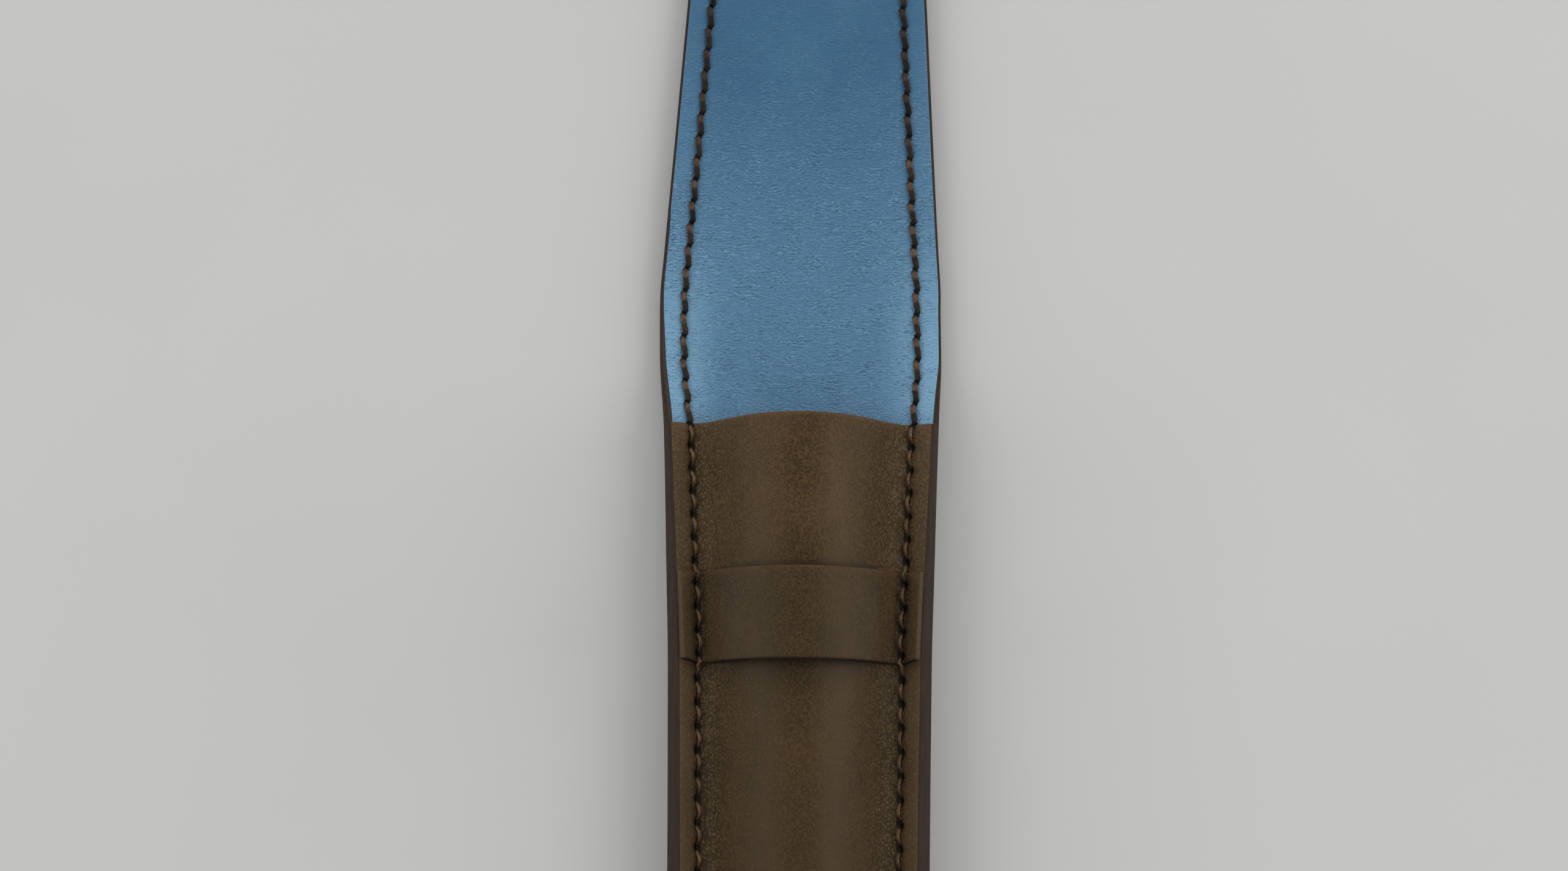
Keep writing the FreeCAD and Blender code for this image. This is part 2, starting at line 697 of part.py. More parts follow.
def seam_threads():
    """Thread of every seam on both faces, with holes where the leather changes its set shape."""
    reach = {station.name: value(station.reach) for station in STATIONS}
    top = {"front": value(FRONT_TOP), "band": value(BAND_TOP), "lining": value(LINING_TOP)}
    corner = value("toe_corner_radius")
    tip_run = value(TIP_SIDE[1]) - value(TIP_SIDE[0])
    lean = math.atan2(tip_run, value("curl_length"))
    tip_radius = value("tip_corner_radius")
    tip_span = value("tip_half_width") - tip_radius * (1 / math.cos(lean) - math.tan(lean))
    tip_round = tip_radius - value(FLAP_INSET)
    reach["toe_corner"] = corner
    reach["tip_corner"] = reach["tip"] - tip_radius + tip_round * math.sin(lean)
    runs = {
        "{}_seam_thread": [
            ("front", ("toe_corner", "heel", "pen_stop", "band_low")),
            ("band", ("band_low", "band_high")),
            ("front", ("band_high", "mouth")),
            ("lining", ("mouth", "neck", "shoulder", "fold")),
        ],
        "crown_{}_thread": [("lining", ("fold", "tongue_fold"))],
        "tongue_{}_thread": [("lining", ("tongue_fold", "curl", "tip_corner"))],
    }
    threads = []
    for side, sign in (("left", -1), ("right", 1)):
        for label, faces in runs.items():
            solids = []
            for face, stops in faces:
                for first, last in zip(stops, stops[1:]):
                    path = side_path(sign, reach[first], reach[last])
                    solids += stitches(path, top[face], True) + stitches(path, 0.0, False)
            threads.append(thread(label.format(side), solids))
    toe_span = value("half_width - toe_corner_radius")
    toe = corner_path(corner, 1, toe_span, corner - value("pocket_stitch_inset"), 0.0)
    tip = corner_path(reach["tip"] - tip_radius, -1, tip_span, tip_round, lean)
    for label, face, path in (("toe_seam_thread", "front", toe), ("tongue_tip_thread", "lining", tip)):
        threads.append(thread(label, stitches(path, top[face], True) + stitches(path, 0.0, False)))
    return threads


pieces = [
    sheet_body("back_panel", SLEEVE_STATIONS, "0", "outer_thickness"),
    sheet_body("back_lining", SLEEVE_STATIONS, LINING_FOOT, LINING_TOP),
    sheet_body("crown_panel", CROWN_STATIONS, "0", "outer_thickness"),
    sheet_body("crown_lining", CROWN_STATIONS, LINING_FOOT, LINING_TOP),
    sheet_body("tongue_panel", TONGUE_STATIONS, "0", "outer_thickness"),
    sheet_body("tongue_lining", TONGUE_STATIONS, LINING_FOOT, LINING_TOP),
    front_body(),
    band_body(),
]
pieces += seam_threads()
doc.recompute()

for item in doc.Objects:
    if "Invalid" in item.State or "Error" in item.State:
        raise RuntimeError(f"{item.Label} failed: {item.State}")
for piece in pieces:
    if piece.Shape.isNull() or not piece.Shape.isValid():
        raise RuntimeError(f"{piece.Label} has no valid shape")

os.makedirs("parts", exist_ok=True)
for piece in pieces:
    piece.Shape.exportStep(os.path.join("parts", f"{piece.Label}.step"))

# The flap bends about two axes above the lining's floor.
axis_height = value(f"{LINING_TOP} + fold_radius")
for name, reach in (("crown_fold", FOLD), ("tongue_fold", TONGUE_FOLD)):
    print(f"{name} axis: y {value(along(reach)):.3f}, z {axis_height:.3f}")
for piece in pieces:
    box = piece.Shape.BoundBox
    print(f"{piece.Label}: {len(piece.Shape.Solids)} solids, {piece.Shape.Volume:.1f} mm3, "
          f"x {box.XMin:.2f} to {box.XMax:.2f}, y {box.YMin:.2f} to {box.YMax:.2f}, "
          f"z {box.ZMin:.2f} to {box.ZMax:.2f}")
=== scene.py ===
import math
from collections import namedtuple

import bpy
import numpy as np
from mathutils import Matrix, Vector


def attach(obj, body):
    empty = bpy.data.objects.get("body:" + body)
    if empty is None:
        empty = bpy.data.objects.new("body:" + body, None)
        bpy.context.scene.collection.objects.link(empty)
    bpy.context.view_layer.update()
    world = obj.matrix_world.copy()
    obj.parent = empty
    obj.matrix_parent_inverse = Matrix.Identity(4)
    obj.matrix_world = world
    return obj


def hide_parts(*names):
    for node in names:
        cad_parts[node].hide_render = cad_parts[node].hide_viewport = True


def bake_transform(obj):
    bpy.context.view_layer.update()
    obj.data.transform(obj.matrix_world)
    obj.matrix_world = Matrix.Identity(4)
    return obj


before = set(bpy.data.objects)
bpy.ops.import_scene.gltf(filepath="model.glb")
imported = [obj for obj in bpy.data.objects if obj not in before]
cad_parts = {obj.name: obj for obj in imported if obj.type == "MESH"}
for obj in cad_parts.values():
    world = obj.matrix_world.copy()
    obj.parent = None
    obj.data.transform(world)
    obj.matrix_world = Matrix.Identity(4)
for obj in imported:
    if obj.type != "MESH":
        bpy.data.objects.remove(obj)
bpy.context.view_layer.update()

# Lengths in the tables and functions are millimetres, meshes are in metres.
# A place on a sheet is y along the sleeve, s the developed distance from the
# middle line and e the offset from the outer face of the back.
MM = 0.001

# Driving sizes, the same as the part's.
TOE, MOUTH, TIP = -116.0, 12.0, 116.0
BAND_LOW, BAND_HIGH = -23.25, -10.1
CROWN_AXIS, TONGUE_AXIS = 38.5, 47.5
SPLIT = (CROWN_AXIS + TONGUE_AXIS) / 2
HALF, TIP_HALF, TAPER_START = 21.0, 16.0, 32.0
CORNER = 9.0
POCKET_INSET, NECK_INSET, FLAP_INSET = 3.4, 3.5, 3.6
PITCH = 3.38

# Rounded corners of both ends: centres as y and s, and where the arc of the
# tip and the seam round it leave the tapered sides.
TAPER = math.atan2(HALF - TIP_HALF, TIP - TAPER_START)
TOE_CENTRE = (TOE + CORNER, HALF - CORNER)
TIP_CENTRE = (TIP - CORNER, TIP_HALF + CORNER * math.tan(TAPER) - CORNER / math.cos(TAPER))
TIP_TOUCH = TIP_CENTRE[0] + CORNER * math.sin(TAPER)
SEAM_END = TIP_CENTRE[0] + (CORNER - FLAP_INSET) * math.sin(TAPER)

# Set shape of the back at stations along it: y, height of the floor, slope of
# the margins in degrees and the stitch line's distance from the edge.
STATIONS = np.array([
    (TOE, 4.5, 0.0, POCKET_INSET),
    (-109.5, 4.5, 0.0, POCKET_INSET),
    (-95.0, 0.9, 31.0, POCKET_INSET),
    (-85.0, 0.0, 33.0, POCKET_INSET),
    (BAND_LOW, 0.0, 29.0, POCKET_INSET),
    (BAND_HIGH, 0.0, 25.5, POCKET_INSET),
    (MOUTH, 0.0, 17.3, POCKET_INSET),
    (23.0, 0.0, 5.0, NECK_INSET),
    (TAPER_START, 0.0, 4.0, FLAP_INSET),
    (CROWN_AXIS, 0.0, 4.0, FLAP_INSET),
    (TONGUE_AXIS, 0.0, 5.0, FLAP_INSET),
    (82.0, 0.0, 5.0, FLAP_INSET),
    (TIP, 2.5, 5.0, FLAP_INSET),
])
STATION_Y, LIFT, SLOPE, INSET = STATIONS.T
HALF_WIDTH = np.interp(STATION_Y, (TAPER_START, TIP), (HALF, TIP_HALF))
HEEL_STATION, FULL_STATION, BAND_STATIONS, MOUTH_STATION = 2, 3, (4, 5), 6

# Half width of the flat floor, developed length of the bend beside it, and
# how far out the front meets the back and the band ends.
FLOOR, BEND = 3.0, 4.7
BEND_END = FLOOR + BEND
VALLEY, BAND_END = 17.1, 20.7

# Faces of the glued layers, as offsets from the outer face of the back.
OUTER_TOP, LINING_TOP, FRONT_TOP, BAND_TOP = 1.325, 2.275, 3.6, 4.85
FRONT_THICK, BAND_THICK = FRONT_TOP - LINING_TOP, BAND_TOP - FRONT_TOP
EDGE_ROUND, CUT_ROUND = 0.62, 0.32

# Arches: room inside, radius of the bend to the margin, share of the full
# crown radius, and how far the section is smoothed.
ROOM, HEEL_ROOM, TUNNEL = 15.2, 12.0, 3.0
FRONT_BEND, BAND_BEND = 2.8, 1.45
FRONT_SHARE, HEEL_SHARE, MOUTH_SHARE, BAND_SHARE = 0.77, 0.968, 0.7425, 0.8
FRONT_SOFT, BAND_SOFT = 1.25, 1.35

# How far the flap leans to one side, at places along it.
LEAN_Y = (TOE, MOUTH, 30.0, 45.0, 77.0, TIP)
LEAN_X = (0.0, 0.0, -0.25, -0.05, 0.5, 1.1)

SEED = 7
rng = np.random.default_rng(SEED)


# Sections and surfaces

SAME_WAY = 1e-12
STEP_BLUR, BAND_SEAM_OUT = 0.25, 0.35


def monotone(places, values, y):
    """Smooth value at y through one row of values per point, without overshoot."""
    gap = np.diff(places)
    grade = np.diff(values, axis=-1) / gap
    before, after = grade[..., :-1], grade[..., 1:]
    w1, w2 = 2 * gap[1:] + gap[:-1], gap[1:] + 2 * gap[:-1]
    same = before * after > SAME_WAY
    mean = (w1 + w2) / (w1 / np.where(same, before, 1.0) + w2 / np.where(same, after, 1.0))
    tangent = np.zeros_like(values)
    tangent[..., 0] = grade[..., 0]
    tangent[..., 1:-1] = np.where(same, mean, 0.0)
    tangent[..., -1] = grade[..., -1]
    k = np.clip(np.searchsorted(places, y, side="right") - 1, 0, len(places) - 2)
    t = (y - places[k]) / gap[k]
    u = 1 - t

    def pick(table, index):
        return np.take_along_axis(table, index[..., None], -1)[..., 0]

    start, end = pick(values, k), pick(values, k + 1)
    leave, arrive = pick(tangent, k) * gap[k], pick(tangent, k + 1) * gap[k]
    return start * (1 + 2 * t) * u * u + leave * t * u * u + end * t * t * (3 - 2 * t) - arrive * t * t * u


def smoothstep(a, b, x):
    """0 at a, 1 at b and smooth between them."""
    t = np.clip((x - a) / (b - a), 0, 1)
    return t * t * (3 - 2 * t)


def section(slope, lift, s, e):
    """x and z on a section of the back."""
    a = np.abs(s)
    if slope == 0:
        return s, lift + e + 0 * s
    full = math.radians(slope)
    radius = BEND / full
    turn = np.clip((a - FLOOR) / radius, 0, full)
    past = np.maximum(a - BEND_END, 0)
    x = np.minimum(a, FLOOR) + (radius - e) * np.sin(turn) + past * np.cos(turn)
    z = lift + radius - (radius - e) * np.cos(turn) + past * np.sin(turn)
    return np.sign(s) * x, z


def width(y):
    """Developed half width without the rounded ends."""
    return np.interp(y, STATION_Y, HALF_WIDTH)


def on_band(y):
    """1 on the band and 0 off it."""
    low = smoothstep(BAND_LOW - STEP_BLUR, BAND_LOW + STEP_BLUR, y)
    return low * smoothstep(BAND_HIGH + STEP_BLUR, BAND_HIGH - STEP_BLUR, y)


def stitch_line(y):
    """Developed distance of the seam from the middle; it runs nearly straight over the band."""
    return width(y) - np.interp(y, STATION_Y, INSET) + BAND_SEAM_OUT * on_band(y)


def back(y, s, e):
    """Points of the back's layers."""
    y, s, e = np.broadcast_arrays(*(np.asarray(v, float) for v in (y, s, e)))
    shape = y.shape
    y, s, e = y.ravel(), s.ravel(), e.ravel()
    share = np.maximum(np.abs(s) - BEND_END, 0) / (width(y) - BEND_END)
    xs, zs = [], []
    for slope, lift, half in zip(SLOPE, LIFT, HALF_WIDTH):
        own = np.sign(s) * (np.minimum(np.abs(s), BEND_END) + share * (half - BEND_END))
        x, z = section(slope, lift, own, e)
        xs.append(x)
        zs.append(z)
    x = monotone(STATION_Y, np.stack(xs, -1), y) + np.interp(y, LEAN_Y, LEAN_X)
    z = monotone(STATION_Y, np.stack(zs, -1), y)
    return np.stack([x, y, z], -1).reshape(*shape, 3)


def outline(y):
    """Developed half width of the cut, with the rounded ends."""
    toe, tip = (
        centre[1] + np.sqrt(np.maximum(CORNER**2 - (y - centre[0])**2, 0))
        for centre in (TOE_CENTRE, TIP_CENTRE))
    return np.where(y < TOE_CENTRE[0], toe, np.where(y > TIP_TOUCH, tip, width(y)))


def edge_distance(y, s):
    """Distance of a place from the cut edge."""
    a = np.abs(s)
    d = np.minimum(width(y) - a, np.minimum(y - TOE, TIP - y))
    for centre_y, centre_s in (TOE_CENTRE, TIP_CENTRE):
        past = (y - centre_y) * np.sign(centre_y)
        corner = CORNER - np.hypot(a - centre_s, past)
        d = np.where((past > 0) & (a > centre_s), corner, d)
    return np.maximum(d, 0)


def rounding(d, radius):
    """How far a face drops at a distance d from a rounded edge."""
    t = np.clip(radius - d, 0, radius)
    return radius - np.sqrt(radius**2 - t**2)


def undulation(y, s):
    """Slight unevenness of handled leather: three crossing waves with heights, lengths and phases."""
    return (
        0.05 * np.sin(y / 7.3 + 0.4) * np.cos(s / 6.1)
        + 0.04 * np.sin(y / 4.1 + s / 5.3 + 1.9)
        + 0.03 * np.sin(y / 2.9 - s / 3.7 + 0.7)
    )


# Seams

# Lean of the slits, their length and width in the lining and as dimples in
# the front, the groove's width, the reach of the pull, the seams' overrun and
# how much wider the holes of the ends are.
LEFT_LEAN, RIGHT_LEAN = math.radians(18), math.radians(32)
SLIT, DIMPLE = (0.62, 0.46), (0.77, 0.54)
GROOVE_WIDE, PULL_REACH, OVERRUN, END_SPREAD = 0.7, 1.3, 0.5, 1.6

# How deep the groove, the slits and the pull sink a face.
BACK_DEPTHS, FRONT_DEPTHS = (0.07, 0.26, 0.05), (0.08, 0.5, 0.18)


def spaced(first, last):
    """Holes between two places, about one pitch apart."""
    count = round((last - first) / PITCH)
    return [first + (last - first) * k / count for k in range(count + 1)]


def end_holes(centre, inward, radius, tilt):
    """Holes round an end, from the right side to the left, as y and s."""
    arc, straight = radius * (math.pi / 2 - tilt), 2 * centre[1]
    whole = 2 * arc + straight
    count = round(whole / PITCH)
    found = []
    for step in range(count + 1):
        travel, side = whole * step / count, 1
        if travel > arc + straight:
            travel, side = whole - travel, -1
        if travel < arc:
            turn = tilt + travel / radius
            found.append((centre[0] - inward * radius * math.sin(turn),
                          side * (centre[1] + radius * math.cos(turn))))
        else:
            found.append((centre[0] - inward * radius, side * (centre[1] + arc - travel)))
    return found


POCKET_HOLES = spaced(TOE_CENTRE[0], MOUTH)
NECK_HOLES = spaced(MOUTH, SPLIT)
FLAP_HOLES = spaced(SPLIT, SEAM_END)
HOLES = np.array(POCKET_HOLES + NECK_HOLES[1:] + FLAP_HOLES[1:])
TOE_HOLES = end_holes(TOE_CENTRE, 1, CORNER - POCKET_INSET, 0.0)
TIP_HOLES = end_holes(TIP_CENTRE, -1, CORNER - FLAP_INSET, TAPER)
END_HOLES = np.array(TOE_HOLES[1:-1] + TIP_HOLES[1:-1])


def seam_fields(y, s, long, wide):
    """Groove along the seams, slit of the nearest hole and the pull round it, 0 to 1."""
    y, s = np.asarray(y, float), np.asarray(s, float)
    q = s - np.where(s < 0, -1.0, 1.0) * stitch_line(y)
    dy = y - HOLES[np.argmin(np.abs(y[..., None] - HOLES), axis=-1)]
    slant = np.where(s < 0, LEFT_LEAN, RIGHT_LEAN)
    along = q * np.sin(slant) - dy * np.cos(slant)
    across = q * np.cos(slant) + dy * np.sin(slant)
    within = (y > TOE_CENTRE[0] - OVERRUN) & (y < SEAM_END + OVERRUN)
    groove = np.where(within, np.exp(-(q / GROOVE_WIDE)**2), 0)
    slit = np.where(within, np.exp(-(along / long)**2 - (across / wide)**2), 0)
    pull = np.where(within, np.exp(-(dy**2 + q**2) / PULL_REACH**2), 0)
    d2 = (y[..., None] - END_HOLES[:, 0])**2 + (s[..., None] - END_HOLES[:, 1])**2
    ends = np.exp(-d2.min(axis=-1) / wide**2 / END_SPREAD)
    return groove, np.maximum(slit, ends), np.maximum(pull, ends)


def sunk(depths, fields):
    """How far the groove, the slits and the pull sink a face."""
    return sum(depth * field for depth, field in zip(depths, fields))


# Meshes

SHARP_ANGLE = math.radians(48)

# Rows and columns as distances from an edge, from a hole or from a seam.
ROUND_ROWS = [0.0, 0.04, 0.15, 0.34, 0.62]
CUT_ROWS = [0.0, 0.03, 0.1, 0.2, 0.32]
HOLE_ROWS, OUTER_HOLE_ROWS = [0.28, 0.62], [0.45]
RIM_COLUMNS = [1.1, 1.7]
SEAM_COLUMNS = [-1.2, -0.8, -0.5, -0.25, 0.0, 0.25, 0.5, 0.8, 1.2, 1.6]
MIDDLE_COLUMNS, CORNER_ROWS, FIRST_CORNER_ROW = 25, 13, 0.75

# Rims where the unevenness fades, the flat middle of the faces turned down and
# where their unevenness starts, and the widths of the painted edges.
RIM_CALM, ARCH_CALM = 2.0, 3.0
FLAT_MIDDLE, UNEVEN_FROM = 4.0, 8.0
BACK_PAINT, FRONT_PAINT = 0.3, 0.42


def add_field(mesh, key, values):
    layer = mesh.attributes.new(key, "FLOAT", "POINT")
    layer.data.foreach_set("value", np.asarray(values, np.float32).ravel())


def build(name, vertices, faces, kinds, fields, materials):
    """Object from arrays: points in mm, faces, a material index per face, point fields."""
    mesh = bpy.data.meshes.new(name)
    mesh.from_pydata((np.asarray(vertices) * MM).tolist(), [], [list(f) for f in faces])
    for material in materials:
        mesh.materials.append(material)
    count = len(mesh.polygons)
    mesh.polygons.foreach_set("use_smooth", np.ones(count, bool))
    mesh.polygons.foreach_set("material_index", np.asarray(kinds, np.int32))
    for key, values in fields.items():
        add_field(mesh, key, values)
    mesh.set_sharp_from_angle(angle=SHARP_ANGLE)
    mesh.update()
    obj = bpy.data.objects.new(name, mesh)
    bpy.context.scene.collection.objects.link(obj)
    return obj


def closed_sheet(name, upper, lower, fields, painted, materials):
    """Closed sheet between two grids of points; fields and painted quads are given for both faces."""
    rows, cols = upper.shape[:2]
    top = np.arange(rows * cols).reshape(rows, cols)
    foot = top + rows * cols

    def quads(a, b, c, d):
        return np.stack([v.ravel() for v in (a, b, c, d)], -1)

    parts = [
        (quads(top[:-1, :-1], top[:-1, 1:], top[1:, 1:], top[1:, :-1]), painted[0].ravel()),
        (quads(foot[:-1, :-1], foot[1:, :-1], foot[1:, 1:], foot[:-1, 1:]), painted[1].ravel()),
        (quads(top[:-1, 0], top[1:, 0], foot[1:, 0], foot[:-1, 0]), 1),
        (quads(top[:-1, -1], foot[:-1, -1], foot[1:, -1], top[1:, -1]), 1),
        (quads(top[0, :-1], foot[0, :-1], foot[0, 1:], top[0, 1:]), 1),
        (quads(top[-1, :-1], top[-1, 1:], foot[-1, 1:], foot[-1, :-1]), 1),
    ]
    faces = np.concatenate([quad for quad, kind in parts])
    kinds = np.concatenate([np.broadcast_to(kind, len(quad)) for quad, kind in parts])
    vertices = np.concatenate([upper.reshape(-1, 3), lower.reshape(-1, 3)])
    values = {key: np.concatenate([np.ravel(face) for face in pair]) for key, pair in fields.items()}
    return build(name, vertices, faces, kinds, values, materials)


def face_mean(grid):
    return (grid[:-1, :-1] + grid[:-1, 1:] + grid[1:, :-1] + grid[1:, 1:]) / 4


def between(holes, distances):
    """Rows from hole to hole: distances from both holes, and the middle."""
    rows = []
    for a, b in zip(holes, holes[1:]):
        rows += [a] + [a + d for d in distances] + [(a + b) / 2] + [b - d for d in reversed(distances)]
    return rows + [holes[-1]]


def end_rows(end, inward):
    """Rows round the corners of an end, from the end inwards."""
    turns = np.radians(np.linspace(0, 90, CORNER_ROWS))
    arc = CORNER * (1 - np.cos(turns))
    found = sorted(set(np.round(np.concatenate([arc[arc > FIRST_CORNER_ROW], ROUND_ROWS]), 4)))
    return [end + inward * d for d in found]


def sheet_columns(y):
    """Developed distances across a row, from the left edge to the right."""
    half = outline(y)
    inset = np.interp(y, STATION_Y, INSET)
    from_edge = ROUND_ROWS + RIM_COLUMNS + [inset + d for d in SEAM_COLUMNS]
    right = np.array([half - d for d in reversed(from_edge)])
    middle = np.linspace(-right[0], right[0], MIDDLE_COLUMNS)[1:-1]
    return np.concatenate([-right[::-1], middle, right])


def back_sheet(name, rows, low, high, low_round, high_round, relief, materials):
    """A layer of the back or the flap between two offsets; relief is 1 or -1 for the face that shows."""
    rows = np.array(rows)
    s = np.stack([sheet_columns(y) for y in rows])
    y = np.repeat(rows[:, None], s.shape[1], axis=1)
    d = edge_distance(y, s)
    groove, slit, pull = seam_fields(y, s, *SLIT)
    wave = undulation(y, s) * np.clip(d / RIM_CALM, 0, 1)
    top = high - rounding(d, EDGE_ROUND) * high_round(y) + wave
    foot = low + rounding(d, EDGE_ROUND) * low_round
    foot = foot + wave * smoothstep(FLAT_MIDDLE, UNEVEN_FROM, np.abs(s))
    depth = sunk(BACK_DEPTHS, (groove, slit, pull))
    zero = np.zeros_like(d)
    if relief > 0:
        top = top - depth
        fields = {"hole": (slit, zero), "seam": (groove, zero), "rim": (d, d)}
    else:
        foot = foot + depth
        fields = {"hole": (zero, slit), "seam": (zero, groove), "rim": (d, d)}
    paint = face_mean(d) < BACK_PAINT
    painted = (paint & (high_round(face_mean(y)) > 0), paint & bool(low_round))
    return closed_sheet(name, back(y, s, top), back(y, s, foot), fields, painted, materials)


# Arched sheets

# Points along a section, where its smoothing starts and is full, the margin
# that isn't stretched, the reach of the seam's marks and the rows' clearance.
CROWN_POINTS, BEND_POINTS, LINE_POINTS, FLAT_POINTS = 60, 50, 30, 200
KEPT_MARGIN, FULLY_SOFT, LEAST_SPREAD = 2.9, 6.8, 0.02
MARGIN_SPAN, SEAM_REACH, CUT_CLEAR = 8.0, 9.0, 0.4

# Columns of the front beside and past its seam; the band's lie nearer its
# edge, by as much as it is narrower.
STRIP_COLUMNS = [1.1, 1.6, 2.1, 2.5, 2.8, 3.02, 3.22, 3.4, 3.58, 3.78,
                 4.0, 4.3, 4.7, 5.2, 5.7, 6.3, 6.9, 7.5]
STRIP_END, COLUMN_STEP = 8.1, 0.6


def arch_half(station, foot, end, bend, room, share):
    """Half a section of an arched sheet's lower face, from the crest to the edge."""
    lift, slope = LIFT[station], math.radians(SLOPE[station])
    radius = BEND / slope
    x = FLOOR + (radius - foot) * math.sin(slope)
    z = lift + radius - (radius - foot) * math.cos(slope)
    run = np.array([math.cos(slope), math.sin(slope)])
    valley = np.array([x, z]) + (VALLEY - BEND_END) * run
    hub = valley + bend * np.array([-math.sin(slope), math.cos(slope)])
    crest = lift + LINING_TOP + room
    rise = crest - hub[1]
    crown = share * (hub[0]**2 + rise**2 - bend**2) / (2 * (rise + bend))
    over = rise - crown
    flank = math.asin((bend + crown) / math.hypot(hub[0], over)) + math.atan2(over, hub[0])
    a = np.linspace(0, flank, CROWN_POINTS)
    top = np.stack([crown * np.sin(a), crest - crown + crown * np.cos(a)], -1)
    a = np.linspace(-flank, slope, BEND_POINTS)
    low = np.stack([hub[0] + bend * np.sin(a), hub[1] - bend * np.cos(a)], -1)
    t = np.linspace(0, 1, LINE_POINTS)[1:, None]
    side = top[-1] + (low[0] - top[-1]) * t[:-1]
    margin = valley + (end - VALLEY) * run * t
    return np.concatenate([top, side, low, margin])


def flat_half(lift, foot, end):
    """Half a flat section, from the middle to the edge."""
    x = np.linspace(0, end, FLAT_POINTS)
    return np.stack([x, 0 * x + lift + foot], -1)


def lengths(points):
    """Length of a line of points up to each of them."""
    steps = np.hypot(*np.diff(points, axis=0).T)
    return np.concatenate([[0], np.cumsum(steps)])


def softened(half, sigma):
    """Half a section, smoothed along its length; the sewn margin keeps its place."""
    full = np.concatenate([half[:0:-1] * (-1, 1), half])
    length = lengths(full)
    from_edge = np.minimum(length, length[-1] - length)
    spread = LEAST_SPREAD + sigma * smoothstep(KEPT_MARGIN, FULLY_SOFT, from_edge)
    weight = np.exp(-0.5 * ((length[:, None] - length) / spread[:, None])**2) * np.gradient(length)
    full = (weight @ full) / weight.sum(1, keepdims=True)
    return full[len(half) - 1:]


def placed(half, columns, full_length):
    """Points of a half section at distances from its edge, stretched to its length past the margin."""
    length = lengths(half)
    own = length[-1]
    stretch = (own - MARGIN_SPAN) / (full_length - MARGIN_SPAN)
    c = np.where(columns < MARGIN_SPAN, columns, MARGIN_SPAN + (columns - MARGIN_SPAN) * stretch)
    c = np.minimum(c, own)
    return np.stack([np.interp(own - c, length, half[:, k]) for k in (0, 1)], -1)


def arch_columns(by_edge, shift, full):
    """Distances from the edge to the crest, close together at the edge and the seam."""
    start = STRIP_END - shift
    count = int((full - start) / COLUMN_STEP)
    by_seam = [c - shift for c in STRIP_COLUMNS]
    return np.concatenate([by_edge, by_seam, np.linspace(start, full, count + 1)])


def across_normals(points):
    """Upward normals of each row's section."""
    t = np.gradient(points, axis=1)
    n = np.stack([-t[..., 2], 0 * t[..., 0], t[..., 0]], -1)
    return n / np.linalg.norm(n, axis=-1, keepdims=True)


def mirrored(right, columns, half_width):
    """Both halves of a sheet from its right one, with c the distance from the nearer edge, y and s."""
    points = np.concatenate([right[:, :0:-1] * (-1, 1, 1), right], 1)
    c = np.concatenate([columns, columns[-2::-1]])
    y = points[..., 1].copy()
    return points, c + 0 * y, y, np.sign(points[..., 0]) * (half_width - c)


def arched_sheet(name, lower, bow, over, under, fields, paint, materials):
    """A sheet between two heights over an arched surface, with its cut ends bowed along y."""
    normal = across_normals(lower)
    lower = lower + np.stack([0 * bow, bow, 0 * bow], -1)
    upper = lower + normal * over[..., None]
    foot = lower + normal * under[..., None]
    return closed_sheet(name, upper, foot, fields, (paint, np.zeros_like(paint)), materials)


# Pocket front

# Unevenness of the arched sheets against the back's, the bow of the lip, and
# the roundness of the lip's lower edge against its upper one. A span is where
# something starts and is full, as distances from the side edge.
ARCH_UNEVEN, ARCH_CROSSWISE = 1.2, 1.7
LIP_BOW, LIP_BOW_LONG, LIP_BOW_SPAN, LIP_UNDER = 0.22, 9.0, (6.0, 18.0), 0.6

# Marks on the leather: painted highlight along the lip, painted shadow under the band and grain that
# the sewing drew out, with strengths from 0 to 1.
LIP_HIGHLIGHT_FADE = 0.25
BAND_SHADE, BAND_SHADE_FADE, BAND_SHADE_SPAN = 0.6, 1.5, (6.0, 13.0)
MARGIN_GRAIN, MARGIN_GRAIN_MORE, MARGIN_GRAIN_SPAN = 0.5, 0.45, (4.4, 2.8)
GRAIN_AT, GRAIN_WIDE = 5.8, 4.6


def front_half(station):
    """Half a section of the pocket front's lower face."""
    if SLOPE[station] == 0:
        return flat_half(LIFT[station], LINING_TOP, HALF_WIDTH[station])
    special = {HEEL_STATION: (HEEL_ROOM, HEEL_SHARE), MOUTH_STATION: (ROOM, MOUTH_SHARE)}
    room, share = special.get(station, (ROOM, FRONT_SHARE))
    half = arch_half(station, LINING_TOP, HALF_WIDTH[station], FRONT_BEND, room, share)
    return softened(half, FRONT_SOFT)


